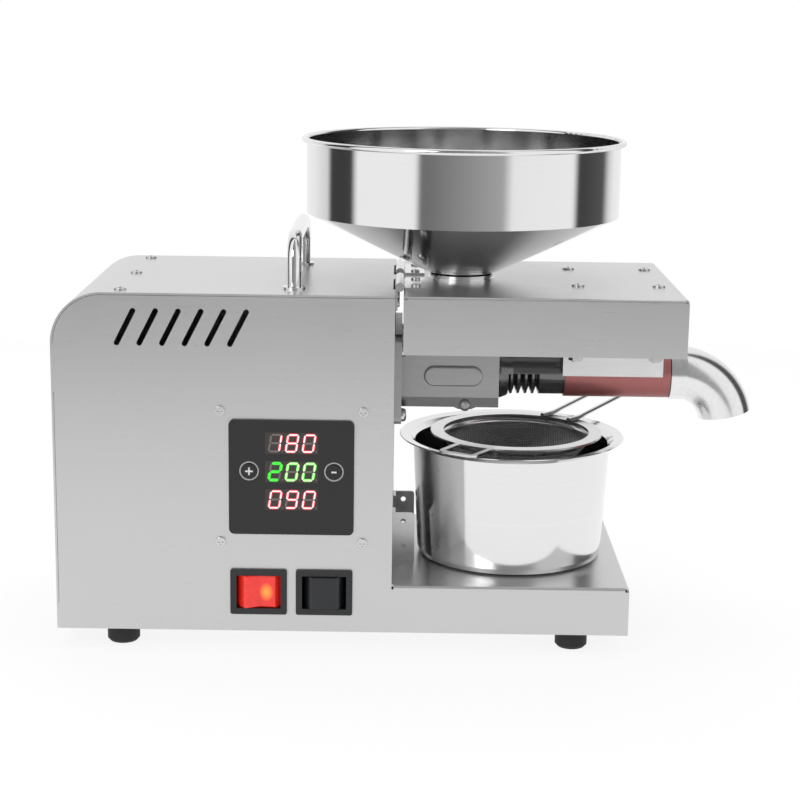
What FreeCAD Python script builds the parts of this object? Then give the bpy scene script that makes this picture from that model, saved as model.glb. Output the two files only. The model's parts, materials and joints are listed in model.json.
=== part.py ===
import FreeCAD, Part
import math
import os

V = FreeCAD.Vector
X_AXIS, Y_AXIS, Z_AXIS = V(1, 0, 0), V(0, 1, 0), V(0, 0, 1)

# A table-top screw oil press. Lengths are in millimetres and angles in degrees.
# x runs from the right-hand wall of the body (0) towards the cake spout, y from
# the press axis towards the back, and z up from the table. The parts are saved
# with the origin under the middle of the whole press.

# ---- body casing
body_length = 184.5
body_depth = 146.0
body_height = 188.0
foot_height = 11.0
sheet = 1.2
seam = 0.2
corner_radius = 28.0
body_front = -body_depth / 2
body_back = body_depth / 2
body_bottom = foot_height
body_top = foot_height + body_height
floor_plate_thickness = 1.5

end_panel_bottom = 26.0
end_panel_drop = 55.0
bend_radius = 1.5
fan_hole_radius = 36.0
grille_bar_width = 3.0
grille_slot_width = 4.6

vent_count = 6
vent_width = 3.0
vent_length = 22.5
vent_lean = 27.0
vent_pitch = 12.12
vent_first_x = -144.4
vent_middle_drop = 18.4

rear_vent_count = 7
rear_vent_length = 44.0
rear_vent_pitch = 10.0
rear_vent_width = 3.4
rear_vent_x = -88.0
rear_vent_drop = 59.0

# ---- tray under the pot
tray_length = 131.0
tray_height = 27.1
tray_corner_relief = 2.2
tray_top = foot_height + tray_height

# ---- feet
foot_radius = 9.0
foot_tip_radius = 7.6
foot_inset = 15.0
left_foot_x = -150.0
right_foot_x = 101.0
foot_screw_radius = 2.0
foot_screw_head_radius = 3.6
foot_screw_head = 2.4
foot_recess = 5.0
foot_edge = 1.6
foot_screw_tail = 2.0

# ---- display on the front
display_left = -89.1
display_width = 68.0
display_bottom = 66.9
display_height = 63.9
display_thickness = 1.5
display_corner = 3.0
window_left = -69.3
window_width = 28.7
window_height = 12.0
window_bottoms = (112.2, 96.3, 80.7)
window_proud = 0.2
button_radius = 4.2
button_gap = 0.3
button_proud = 0.9
button_travel = 0.6
button_flange = 0.9
button_flange_thickness = 0.8
button_stem_radius = 1.6
button_z = 102.5
plus_x = -78.0
minus_x = -32.0
display_screw_overhang = 4.7
screw_head_radius = 2.8
screw_head_height = 1.1
screw_shank_radius = 1.5
cross_width = 0.8
cross_depth = 0.6
screw_tail = 5.0
leaf_screw_tail = 2.0
button_edge = 0.4
button_stem_gap = 0.4

# ---- control board behind the display
board_gap = 10.5
board_thickness = 1.6
board_margin = 5.0
spacer_radius = 3.0
relay_count = 3
relay_width = 14.0
relay_height = 16.0
relay_depth = 9.0
relay_pitch = 24.0
relay_inset = 18.0
relay_rise = 12.0

# ---- rocker switches
switch_width = 31.1
switch_height = 25.6
switch_bezel = 1.6
switch_rim = 3.4
switch_body_inset = 1.8
switch_depth = 22.0
switch_bottom = 21.0
power_switch_left = -88.6
motor_switch_left = -52.6
rocker_end_gap = 0.35
rocker_pivot_depth = 7.0
rocker_pin_radius = 1.2
rocker_pin_clearance = 0.05
rocker_proud = 1.2
rocker_dish = 3.0
power_rocker_tilt = 8.0
rocker_back = 5.0
rocker_edge = 0.5
switch_corner = 1.2
switch_back = 4.0
tab_width = 4.0
tab_length = 7.0
tab_thickness = 0.8
tab_pitch = 8.0
tab_rise = 10.0

# ---- press head on the right-hand wall
axis_below_top = 53.0
flange_thickness = 4.0
flange_half_width = 40.0
flange_below_axis = 25.0
flange_above_axis = 26.0
flange_corner = 4.0
flange_bolt_y = 33.0
flange_bolt_below = 20.5
flange_bolt_above = 16.2
flange_bolt_radius = 3.8
flange_bolt_head = 2.8
shaft_hole_gap = 0.05
wall_hole_gap = 1.0
flange_hole_gap = 0.6

# ---- feed chamber and its housing
housing_length = 55.0
housing_half_width = 22.0
housing_above_axis = 17.0
housing_below_axis = 12.4
housing_wall = 1.5
pill_left = 16.6
pill_length = 33.1
pill_height = 11.6
pill_below_axis = 0.1
pill_rise = 1.6
base_lip_height = 5.8
base_boss_x = 40.0
base_boss_width = 12.6
base_boss_drop = 1.2
base_boss_depth = 12.0
base_bolt_radius = 3.6
base_bolt_head = 3.2
base_bolt_rise = 1.2
base_bolt_length = 10.0
base_inset = 1.0
boss_slope = 2.6
funnel_depth = 5.0

# ---- barrel, heater sleeve and spout
barrel_radius = 13.8
barrel_length = 98.5
bore_radius = 10.5
cone_radius = 16.4
cone_length = 8.5
cone_edge = 1.6
comb_start = 64.6
comb_length = 20.7
comb_teeth = 5
comb_tip_drop = 0.8
comb_depth = 3.0
slot_width = 0.8
sleeve_start = 97.0
sleeve_length = 60.0
sleeve_radius = 15.0
sleeve_gap = 0.1
collar_length = 9.0
collar_radius = 16.0
spout_radius = 15.0
spout_bore = 13.2
elbow_radius = 30.0
elbow_angle = 78.0
elbow_start = 3.9

# ---- press screw
screw_core_radius = 5.6
screw_core_end_radius = 8.6
flight_radius = 10.1
flight_width = 3.0
flight_pitch = 17.0
flight_turns = 8
screw_start = 12.0
screw_length = 144.0
screw_tip_length = 5.0
flight_sink = 1.0
helix_radius = 7.1
output_shaft_radius = 5.0

# ---- gear train, from the motor to the press screw
pressure_angle = 20.0
backlash = 0.12
gear_root_gap = 0.25
motor_pinion_teeth = 12
idler_wheel_teeth = 60
first_module = 1.0
idler_pinion_teeth = 12
output_wheel_teeth = 48
second_module = 1.25
first_face = 8.0
second_face = 12.0
gearbox_depth = 45.0
gearbox_wall = 4.0
gearbox_half_width = 37.0
gearbox_room = 4.0
gearbox_sump = 8.0
shaft_end_gap = 1.0
idler_shaft_radius = 4.0
motor_shaft_radius = 3.0
bearing_wall_thickness = 2.4
bearing_width = 4.0
shaft_fit = 0.04
plate_to_wheel = 3.0
first_to_second = 4.0

# ---- motor
motor_radius = 34.0
motor_length = 88.0
motor_wall = 2.5
rotor_radius = 20.0
rotor_gap = 0.6
motor_gap = 5.0
cradle_half_width = 26.0
cradle_length = 52.0
cradle_rise = 12.0
cradle_gap = 0.1
motor_back_wall = 1.0
motor_shaft_inset = 2.0
rotor_end_room = 14.0
stator_end_room = 16.0
stud_radius = 3.0
stud_spread = 22.0

# ---- fan
fan_size = 80.0
fan_depth = 25.0
fan_bore = 37.5
fan_hub_radius = 17.0
fan_blade_radius = 36.4
fan_blade_count = 7
fan_blade_thickness = 1.6
fan_blade_angle = 38.0
fan_shaft_radius = 2.0
fan_plate = 2.0
fan_centre_z = 84.0
fan_bolt_inset = 4.3
fan_arm_width = 4.0
fan_arm_inset = 1.0
fan_hub_start = 3.0
fan_hub_room = 4.0
fan_blade_root = 2.0

# ---- power inlet on the back
inlet_x = -150.0
inlet_z = 42.0
inlet_width = 50.0
inlet_height = 23.0
inlet_mouth_width = 27.0
inlet_mouth_height = 19.8
inlet_mouth_depth = 16.5
inlet_body_depth = 22.0
inlet_flange = 3.0
inlet_pin_pitch = 7.0
inlet_pin_width = 4.0
inlet_pin_thickness = 2.0
inlet_pin_length = 14.0
inlet_screw_span = 40.0
inlet_screw_tail = 4.0
inlet_wall = 1.5
inlet_margin = 1.0
inlet_corner = 3.0
inlet_mouth_corner = 5.0
inlet_pin_rise = 2.0

# ---- hinged cover over the press
cover_left = 4.6
cover_length = 152.2
cover_drop = 31.6
cover_below_top = 0.2
cover_corner_relief = 1.8
cover_hole_gap = 0.3

hinge_pin_x = 2.3
hinge_pin_rise = 2.6
hinge_pin_radius = 1.0
hinge_pin_gap = 0.05
knuckle_radius = 2.5
hinge_length = 38.5
hinge_front_y = -49.0
hinge_pitch = 56.3
hinge_leaf = 1.2
hinge_leaf_width = 14.0
hinge_leaf_drop = 13.0
knuckle_count = 5
knuckle_gap = 0.3
hinge_screw_inset = 6.8
hinge_screw_x = 8.7
hinge_screw_drop = 9.4
hinge_notch_width = 1.3
hinge_notch_depth = 4.0
hinge_screw_head_radius = 2.5

cover_screw_first_x = 101.5
cover_screw_pitch_x = 45.0
cover_screw_first_y = -25.5
cover_screw_pitch_y = 66.0
cover_screw_length = 43.0
cover_screw_radius = 2.0
cover_screw_head_radius = 3.6
nut_radius = 4.0
nut_height = 3.2
shield_thickness = 1.0
shield_left = 95.0
shield_length = 56.6
shield_below_cover = 35.6
shield_edge = 8.0
shield_web_y = 21.0
shield_web_drop = 16.6

# ---- hopper
hopper_x = 37.1
hopper_rise = 79.4
hopper_rim_radius = 89.4
hopper_bead = 1.5
hopper_wall = 1.0
hopper_side_radius = 88.0
hopper_side_height = 42.2
hopper_neck_radius = 17.6
hopper_foot_rise = 3.0
hopper_collar_radius = 18.9
hopper_collar_height = 3.0
neck_clearance = 0.6
collar_groove = 0.6
collar_bead = 1.0

# ---- carrying handle
handle_x = -55.0
handle_radius = 4.0
handle_front_y = -50.7
handle_span = 96.1
handle_rise = 31.0
handle_bend = 12.0
handle_washer_radius = 6.4
handle_washer = 1.2
handle_nut_radius = 6.5
handle_nut_height = 5.0
handle_thread = 9.0

# ---- screws on top of the body
top_screw_x = -148.0
top_screw_edge = 11.0
top_screw_count = 3
top_screw_head_radius = 3.4

# ---- oil pot
pot_x = 68.0
pot_y = -1.5
pot_rim_below_axis = 37.6
pot_foot_radius = 53.5
pot_top_radius = 56.7
pot_rim_radius = 64.7
pot_rim_drop = 4.2
pot_wall = 1.0
pot_edge = 0.9
pot_base_round = 4.0
pot_flare = 2.5

# ---- sieve in the pot
sieve_x = 70.8
sieve_y = 0.5
sieve_ring_radius = 49.5
sieve_ring_inner = 42.1
sieve_ring_thickness = 1.2
sieve_gap = 0.3
sieve_bowl_depth = 26.0
sieve_mesh = 0.8
sieve_wire = 1.3
sieve_wire_near_angle = 35.0
sieve_wire_far_angle = 63.0
sieve_handle_angle = 50.0
sieve_handle_reach = 104.0
sieve_handle_rise = 8.0
sieve_handle_bend = 2.0
sieve_ear_angle = 238.0
sieve_ear_width = 24.0
sieve_ear_strip = 3.2
sieve_ear_corner = 5.0
ear_rest = 1.6
sieve_seat = 2.0
sieve_wire_inset = 3.0

# ---- brackets between the wall and the tray
bracket_width = 12.5
bracket_height = 28.0
bracket_thickness = 1.5
bracket_y = 25.0
bracket_flange = 12.0
bracket_hole = 1.5
bracket_hole_x = 6.0
bracket_hole_rises = (8.2, 23.1)
bracket_screw_rise = 9.0
bracket_corner = 1.5

# ---- values worked out from the sizes above
axis_z = body_top - axis_below_top
cover_top = body_top - cover_below_top
end_panel_top = body_top - end_panel_drop
housing_top = axis_z + housing_above_axis
housing_bottom = axis_z - housing_below_axis
shield_z = cover_top - shield_below_cover
hopper_rim_z = cover_top + hopper_rise
hopper_side_bottom = hopper_rim_z - hopper_side_height
hopper_cone_foot = cover_top + hopper_foot_rise
handle_top_z = body_top + handle_rise
bolt_core_radius = flange_bolt_radius * 0.55
barrel_end = flange_thickness + housing_length + barrel_length
elbow_x = barrel_end + elbow_start
spout_reach = elbow_x + (elbow_radius + spout_radius) * math.sin(math.radians(elbow_angle))
origin_x = (spout_reach - body_length) / 2
hinge_pin_z = cover_top + hinge_pin_rise - hinge_leaf
first_centres = first_module * (motor_pinion_teeth + idler_wheel_teeth) / 2
second_centres = second_module * (idler_pinion_teeth + output_wheel_teeth) / 2
idler_z = axis_z - second_centres
motor_z = idler_z - first_centres
wall_inner_x = -bearing_wall_thickness
gearbox_left = wall_inner_x - gearbox_depth
first_wheel_x = gearbox_left + gearbox_wall + plate_to_wheel
second_wheel_x = first_wheel_x + first_face + first_to_second
motor_right = gearbox_left - motor_gap
pot_rim_z = axis_z - pot_rim_below_axis


# ---- shape helpers
def block(x0, x1, y0, y1, z0, z1):
    return Part.makeBox(x1 - x0, y1 - y0, z1 - z0, V(x0, y0, z0))


def rod(x, y, z, axis, radius, length):
    return Part.makeCylinder(radius, length, V(x, y, z), axis)


def ring(x, y, z, axis, outer, inner, length):
    return rod(x, y, z, axis, outer, length).cut(rod(x, y, z, axis, inner, length))


def turned(points, centre, axis):
    """Turn an outline of (radius, height) points about an axis through centre."""
    side = X_AXIS if axis != X_AXIS else Z_AXIS
    place = [centre + side * r + axis * h for r, h in points]
    face = Part.Face(Part.makePolygon(place + place[:1]))
    return face.revolve(centre, axis, 360)


def plate(points, thickness, x_dir, y_dir, corner):
    """Push an outline of (u, v) points along the direction square to both."""
    place = [corner + x_dir * u + y_dir * v for u, v in points]
    face = Part.Face(Part.makePolygon(place + place[:1]))
    return face.extrude(x_dir.cross(y_dir) * thickness)


def joined(shapes):
    whole = shapes[0].multiFuse(shapes[1:]) if len(shapes) > 1 else shapes[0]
    return whole.removeSplitter()


def without(shape, tools):
    return shape.cut(Part.makeCompound(tools))


def save(name, shape):
    placed = shape.copy()
    placed.translate(V(-origin_x, 0, 0))
    placed.exportStep("parts/" + name + ".step")


def save_group(name, shapes):
    save(name, Part.makeCompound(shapes))


def rounded_plate(x0, x1, z0, z1, y0, y1, radius):
    solid = block(x0, x1, y0, y1, z0, z1)
    corners = [e for e in solid.Edges if abs(e.tangentAt(e.FirstParameter).y) > 0.99]
    return solid.makeFillet(radius, corners)


def folded_block(x0, x1, y0, y1, z0, z1, bent_ends):
    """A block whose top edges are rounded, as a folded sheet's are: both sides, and the bent ends."""
    solid = block(x0, x1, y0, y1, z0, z1)
    folds = [e for e in solid.Edges if e.CenterOfMass.z > z1 - 0.01
             and (abs(e.tangentAt(e.FirstParameter).x) > 0.99
                  or any(abs(e.CenterOfMass.x - end) < 0.01 for end in bent_ends))]
    return solid.makeFillet(bend_radius, folds)


def cross_screw(x, y, z, direction, head_radius, head_height, shank_radius, shank_length):
    """A pan-head screw with a cross recess; its head points along direction."""
    centre = V(x, y, z)
    head = Part.makeCylinder(head_radius, head_height, centre, direction)
    rim = [e for e in head.Edges if (e.CenterOfMass - centre).dot(direction) > head_height * 0.9]
    head = head.makeFillet(head_height * 0.45, rim)
    shank = Part.makeCylinder(shank_radius, shank_length, centre, direction * -1)
    side = direction.cross(Z_AXIS if abs(direction.z) < 0.5 else X_AXIS)
    other = direction.cross(side)
    recess = []
    for along, across in ((side, other), (other, side)):
        half = head_radius * 0.62
        corner = centre + direction * (head_height - cross_depth)
        outline = [corner + along * u + across * v for u, v in
                   ((-half, -cross_width / 2), (half, -cross_width / 2),
                    (half, cross_width / 2), (-half, cross_width / 2))]
        face = Part.Face(Part.makePolygon(outline + outline[:1]))
        recess.append(face.extrude(direction * cross_depth * 2))
    return without(head.fuse(shank), recess)


def dome_bolt(x, y, z, direction, head_radius, head_height, shank_radius, shank_length):
    """A dome-head bolt whose head stands on the point and points along direction."""
    centre = V(x, y, z)
    head = Part.makeCylinder(head_radius, head_height, centre, direction)
    rim = [e for e in head.Edges if (e.CenterOfMass - centre).dot(direction) > head_height * 0.9]
    head = head.makeFillet(head_height * 0.7, rim)
    return head.fuse(Part.makeCylinder(shank_radius, shank_length, centre, direction * -1))


def bent_wire(points, setbacks):
    """A path through the points, with each inner corner rounded off from setback before it."""
    edges = []
    start = points[0]
    for before, corner, after, setback in zip(points, points[1:], points[2:], setbacks):
        came = (corner - before).normalize()
        goes = (after - corner).normalize()
        half = came.getAngle(goes) / 2
        rise = setback / math.tan(half) * (1 / math.cos(half) - 1)
        first, last = corner - came * setback, corner + goes * setback
        middle = corner + (goes - came).normalize() * rise
        edges += [Part.LineSegment(start, first).toShape(), Part.Arc(first, middle, last).toShape()]
        start = last
    edges.append(Part.LineSegment(start, points[-1]).toShape())
    return Part.Wire(edges)


def hexagon(x, y, z, radius, height, hole):
    corners = [(radius * math.cos(math.radians(60 * n)), radius * math.sin(math.radians(60 * n)))
               for n in range(6)]
    return plate(corners, height, X_AXIS, Y_AXIS, V(x, y, z)).cut(rod(x, y, z, Z_AXIS, hole, height))


# ---- casing
def casing_outline(inset, y0, y1, left_inset=None):
    """The casing's end view as a solid: square corners but for the top left."""
    left = -body_length + (inset if left_inset is None else left_inset)
    top = body_top - inset
    radius = corner_radius - inset
    square = block(left, 0, y0, y1, body_bottom, top)
    spare = block(left, left + radius, y0, y1, top - radius, top)
    round_part = rod(left + radius, y0, top - radius, Y_AXIS, radius, y1 - y0)
    return square.cut(spare).fuse(round_part.common(spare)).removeSplitter()


def slanted_slot(x, z, y0, y1):
    """A round-ended slot through a front or back panel, leaning to the right."""
    half = vent_length / 2 - vent_width / 2
    solid = joined([
        block(x - vent_width / 2, x + vent_width / 2, y0, y1, z - half, z + half),
        rod(x, y0, z + half, Y_AXIS, vent_width / 2, y1 - y0),
        rod(x, y0, z - half, Y_AXIS, vent_width / 2, y1 - y0)])
    solid.rotate(V(x, y0, z), Y_AXIS, vent_lean)
    return solid


def notch_cutters(y0, y1):
    """The room that the end panel's edge takes from the front and back panels."""
    left = -body_length
    return [block(left, left + sheet + seam, y0, y1, end_panel_bottom - seam, end_panel_top + seam)]


def body_panel(y0, y1):
    """A flat panel of the casing: under the bent top sheet, full width below it."""
    bend_z = body_top - corner_radius
    upper = casing_outline(sheet + seam, y0, y1)
    lower = block(-body_length, 0, y0, y1, body_bottom, bend_z)
    panel = upper.fuse(lower).removeSplitter()
    return without(panel, notch_cutters(y0, y1))


def switch_cutout(left, y0, y1):
    return block(left + switch_body_inset - seam, left + switch_width - switch_body_inset + seam,
                 y0, y1, switch_bottom + switch_body_inset - seam,
                 switch_bottom + switch_height - switch_body_inset + seam)


def make_front_panel():
    y0, y1 = body_front, body_front + sheet
    cuts = [slanted_slot(vent_first_x + vent_pitch * n, body_top - vent_middle_drop, y0, y1)
            for n in range(vent_count)]
    cuts += [switch_cutout(left, y0, y1) for left in (power_switch_left, motor_switch_left)]
    for z in window_bottoms:
        cuts.append(block(window_left, window_left + window_width, y0, y1, z, z + window_height))
    for x in (plus_x, minus_x):
        cuts.append(rod(x, y0, button_z, Y_AXIS, button_radius + button_flange + button_gap, sheet))
    for x, z in display_screw_places():
        cuts.append(rod(x, y0, z, Y_AXIS, screw_shank_radius + shaft_hole_gap, sheet))
    return without(body_panel(y0, y1), cuts)


def make_rear_panel():
    y0, y1 = body_back - sheet, body_back
    cuts = []
    for n in range(rear_vent_count):
        x = rear_vent_x + rear_vent_pitch * n
        half = rear_vent_length / 2
        z = body_top - rear_vent_drop
        cuts.append(block(x, x + rear_vent_width, y0, y1, z - half, z + half))
    half_w = inlet_mouth_width / 2 + inlet_wall + seam
    half_h = inlet_mouth_height / 2 + inlet_wall + seam
    cuts.append(block(inlet_x - half_w, inlet_x + half_w, y0, y1, inlet_z - half_h, inlet_z + half_h))
    for side in (-1, 1):
        cuts.append(rod(inlet_x + side * inlet_screw_span / 2, y0, inlet_z, Y_AXIS,
                        screw_shank_radius + shaft_hole_gap, sheet))
    return without(body_panel(y0, y1), cuts)


def make_top_wrap():
    """The bent sheet over the top, round the corner and a little way down the end."""
    y0, y1 = body_front, body_back
    bend_z = body_top - corner_radius
    tab_bottom = end_panel_top + seam
    shell = casing_outline(0, y0, y1).cut(casing_outline(sheet, y0, y1))
    shell = shell.common(block(-body_length, 0, y0, y1, tab_bottom, body_top))
    cuts = [block(-body_length, -body_length + sheet, edge, edge + sheet + seam, tab_bottom, bend_z)
            for edge in (y0, y1 - sheet - seam)]
    cuts.append(block(wall_inner_x, 0, y0, y1, tab_bottom, body_top - sheet))
    for x, y in top_screw_places():
        cuts.append(rod(x, y, body_top - sheet, Z_AXIS, screw_shank_radius + shaft_hole_gap, sheet))
    for y in handle_posts():
        cuts.append(rod(handle_x, y, body_top - sheet, Z_AXIS, handle_radius + shaft_hole_gap, sheet))
    for y in hinge_starts():
        cuts.append(block(-hinge_notch_width, 0, y, y + hinge_length, body_top - sheet, body_top))
    return without(shell, cuts)


def make_end_vent_panel():
    """The lower end wall, with slots in front of the fan."""
    x0, x1 = -body_length, -body_length + sheet
    low, high = end_panel_bottom, end_panel_top
    wall = block(x0, x1, body_front, body_back, low, high)
    foot = block(x0, x1, body_front + sheet + seam, body_back - sheet - seam, body_bottom, low)
    wall = wall.fuse(foot).removeSplitter()
    cuts = []
    count = int(2 * fan_hole_radius / (grille_bar_width + grille_slot_width))
    pitch = grille_bar_width + grille_slot_width
    for n in range(count):
        y = (n - (count - 1) / 2) * pitch
        half = math.sqrt(fan_hole_radius ** 2 - y * y)
        cuts.append(block(x0, x1, y - grille_slot_width / 2, y + grille_slot_width / 2,
                          fan_centre_z - half, fan_centre_z + half))
    for y, z in fan_corners():
        cuts.append(rod(x0, y, z, X_AXIS, screw_shank_radius + shaft_hole_gap, sheet))
    return without(wall, cuts)


def make_bearing_wall():
    """The stiff right-hand wall that carries the gearbox and the press head."""
    wall = block(wall_inner_x, 0, body_front + sheet + seam, body_back - sheet - seam,
                 body_bottom + floor_plate_thickness, body_top - sheet)
    cuts = [rod(wall_inner_x, 0, axis_z, X_AXIS, output_shaft_radius + wall_hole_gap,
                bearing_wall_thickness)]
    for y, z in flange_bolt_places():
        cuts.append(rod(wall_inner_x, y, z, X_AXIS, bolt_core_radius + shaft_hole_gap,
                        bearing_wall_thickness))
    for y in bracket_screw_places():
        cuts.append(rod(wall_inner_x, y, tray_top + bracket_screw_rise, X_AXIS,
                        screw_shank_radius + shaft_hole_gap, bearing_wall_thickness))
    for y in hinge_starts():
        cuts.append(block(wall_inner_x, 0, y, y + hinge_length, body_top - sheet - hinge_notch_depth,
                          body_top - sheet))
        for inset in hinge_screw_insets():
            cuts.append(rod(wall_inner_x, y + inset, hinge_pin_z - hinge_screw_drop, X_AXIS,
                            screw_shank_radius + shaft_hole_gap, bearing_wall_thickness))
    return without(wall, cuts)


def make_bottom_plate():
    """One floor plate under the body and the tray, inside their skirts."""
    floor = block(-body_length + sheet + seam, tray_length - sheet - seam,
                  body_front + sheet + seam, body_back - sheet - seam,
                  body_bottom, body_bottom + floor_plate_thickness)
    cuts = [rod(x, y, body_bottom, Z_AXIS, foot_screw_radius + shaft_hole_gap, floor_plate_thickness)
            for x, y in foot_places()]
    return without(floor, cuts)


def make_base_tray():
    """The folded tray that the pot stands on, open towards the body."""
    y0, y1 = body_front, body_back
    outer = folded_block(0, tray_length, y0, y1, body_bottom, tray_top, (tray_length,))
    inner = block(0, tray_length - sheet, y0 + sheet, y1 - sheet, body_bottom, tray_top - sheet)
    relief = tray_corner_relief
    cuts = [inner]
    for y in (y0, y1):
        cuts.append(block(tray_length - relief, tray_length, y - relief, y + relief,
                          tray_top - relief, tray_top))
        cuts.append(block(0, relief / 2, y - relief, y + relief, tray_top - relief, tray_top))
    return without(outer, cuts)


# ---- places that several pieces share
def foot_places():
    return [(x, y) for x in (left_foot_x, right_foot_x)
            for y in (body_front + foot_inset, body_back - foot_inset)]


def display_screw_places():
    left = display_left - display_screw_overhang
    right = display_left + display_width + display_screw_overhang
    low = display_bottom - display_screw_overhang
    high = display_bottom + display_height + display_screw_overhang
    return [(x, z) for x in (left, right) for z in (low, high)]


def top_screw_places():
    first = body_front + top_screw_edge
    step = (body_depth - 2 * top_screw_edge) / (top_screw_count - 1)
    return [(top_screw_x, first + step * n) for n in range(top_screw_count)]


def handle_posts():
    return (handle_front_y, handle_front_y + handle_span)


def hinge_starts():
    return (hinge_front_y, hinge_front_y + hinge_pitch)


def hinge_screw_insets():
    return (hinge_screw_inset, hinge_length - hinge_screw_inset)


def flange_bolt_places():
    heights = (axis_z - flange_bolt_below, axis_z + flange_bolt_above)
    return [(y, z) for y in (-flange_bolt_y, flange_bolt_y) for z in heights]


def cover_screw_places():
    return [(cover_screw_first_x + cover_screw_pitch_x * m, cover_screw_first_y + cover_screw_pitch_y * n)
            for m in range(2) for n in range(2)]


def fan_corners():
    reach = fan_size / 2 - fan_bolt_inset
    return [(y, fan_centre_z + z) for y in (-reach, reach) for z in (-reach, reach)]


def bracket_screw_places():
    middle = bracket_y - bracket_thickness - (bracket_flange - bracket_thickness) / 2
    return (-middle, middle)


# ---- feet
def make_feet():
    feet, screws = [], []
    for x, y in foot_places():
        outline = [(0, 0), (foot_tip_radius, 0), (foot_radius, foot_edge), (foot_radius, foot_height),
                   (0, foot_height)]
        body = turned(outline, V(x, y, 0), Z_AXIS)
        body = without(body, [rod(x, y, 0, Z_AXIS, foot_screw_head_radius + shaft_hole_gap, foot_recess),
                              rod(x, y, 0, Z_AXIS, foot_screw_radius + shaft_hole_gap, foot_height)])
        feet.append(body)
        shank = foot_height - foot_recess + floor_plate_thickness + foot_screw_tail
        screws.append(cross_screw(x, y, foot_recess, Z_AXIS * -1, foot_screw_head_radius,
                                  foot_screw_head, foot_screw_radius, shank))
    save_group("rubber_feet", feet)
    save_group("foot_screws", screws)


# ---- display, buttons and control board
def make_display():
    y0, y1 = body_front - display_thickness, body_front
    panel = rounded_plate(display_left, display_left + display_width, display_bottom,
                          display_bottom + display_height, y0, y1, display_corner)
    cuts = []
    windows = []
    for z in window_bottoms:
        cuts.append(block(window_left, window_left + window_width, y0, y1, z, z + window_height))
        windows.append(block(window_left, window_left + window_width, y0 - window_proud, y1,
                             z, z + window_height))
    for x in (plus_x, minus_x):
        cuts.append(rod(x, y0, button_z, Y_AXIS, button_radius + button_gap, display_thickness))
    save("display_panel", without(panel, cuts))
    save_group("display_windows", windows)
    return [cross_screw(x, body_front, z, Y_AXIS * -1, screw_head_radius, screw_head_height,
                        screw_shank_radius, sheet + screw_tail) for x, z in display_screw_places()]


def make_button(x):
    """A round key: its cap shows in the display panel and its flange sits behind it."""
    front = body_front - display_thickness - button_proud
    cap = rod(x, front, button_z, Y_AXIS, button_radius, display_thickness + button_proud)
    rim = [e for e in cap.Edges if abs(e.CenterOfMass.y - front) < 0.01 and e.Length > button_radius]
    cap = cap.makeFillet(button_edge, rim)
    flange = rod(x, body_front, button_z, Y_AXIS, button_radius + button_flange, button_flange_thickness)
    board_y = body_front + sheet + board_gap
    stem_length = board_y - body_front - button_travel - button_stem_gap
    stem = rod(x, body_front, button_z, Y_AXIS, button_stem_radius, stem_length)
    return joined([cap, flange, stem])


def make_control_board():
    y0 = body_front + sheet + board_gap
    left = display_left - display_screw_overhang - board_margin
    right = display_left + display_width + display_screw_overhang + board_margin
    low = display_bottom - display_screw_overhang - board_margin
    high = display_bottom + display_height + display_screw_overhang + board_margin
    board = block(left, right, y0, y0 + board_thickness, low, high)
    parts = [board]
    back = y0 + board_thickness
    for n in range(relay_count):
        x = left + relay_inset + relay_pitch * n
        parts.append(block(x, x + relay_width, back, back + relay_depth, low + relay_rise,
                           low + relay_rise + relay_height))
    save("control_board", joined(parts))
    spacers = [rod(x, body_front + sheet, z, Y_AXIS, spacer_radius, board_gap)
               .cut(rod(x, body_front + sheet, z, Y_AXIS, screw_shank_radius + shaft_hole_gap, board_gap))
               for x, z in display_screw_places()]
    save_group("board_spacers", spacers)


# ---- rocker switches
def make_switch_body(left):
    """The moulded body and bezel of a rocker switch, open at the front."""
    right = left + switch_width
    low, high = switch_bottom, switch_bottom + switch_height
    inset = switch_body_inset
    bezel = rounded_plate(left, right, low, high, body_front - switch_bezel, body_front,
                          switch_corner)
    case = block(left + inset, right - inset, body_front, body_front + switch_depth,
                 low + inset, high - inset)
    mouth = block(left + switch_rim, right - switch_rim, body_front - switch_bezel,
                  body_front + switch_depth - switch_back, low + switch_rim, high - switch_rim)
    middle = (left + right) / 2
    pin_y = body_front + rocker_pivot_depth
    pin = rod(middle, pin_y, low + switch_rim, Z_AXIS, rocker_pin_radius, switch_height - 2 * switch_rim)
    shell = bezel.fuse(case).cut(mouth).fuse(pin)
    tabs = []
    for step in (-tab_pitch, 0, tab_pitch):
        x = middle + step - tab_width / 2
        tabs.append(block(x, x + tab_width, body_front + switch_depth, body_front + switch_depth + tab_length,
                          low + tab_rise, low + tab_rise + tab_thickness))
    return joined([shell] + tabs)


def make_rocker(left, dish, tilt):
    """A rocker on a vertical pin; its ends are arcs about the pin."""
    middle = left + switch_width / 2
    pin_y = body_front + rocker_pivot_depth
    half = switch_width / 2 - switch_rim - rocker_end_gap
    low = switch_bottom + switch_rim + rocker_end_gap
    height = switch_height - 2 * switch_rim - 2 * rocker_end_gap
    front = -(rocker_pivot_depth + switch_bezel + rocker_proud)
    dip = [(0, front + dish)] if dish else []
    outline = [(-half, front)] + dip + [(half, front), (half, rocker_back), (-half, rocker_back)]
    solid = plate(outline, height, X_AXIS, Y_AXIS, V(middle, pin_y, low))
    solid = solid.common(rod(middle, pin_y, low, Z_AXIS, half, height))
    edges = [e for e in solid.Edges if e.CenterOfMass.y < pin_y + front * 0.55 and e.Length > 6]
    solid = solid.makeFillet(rocker_edge, edges)
    solid = solid.cut(rod(middle, pin_y, low, Z_AXIS, rocker_pin_radius + rocker_pin_clearance, height))
    solid.rotate(V(middle, pin_y, low), Z_AXIS, tilt)
    return solid


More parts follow.
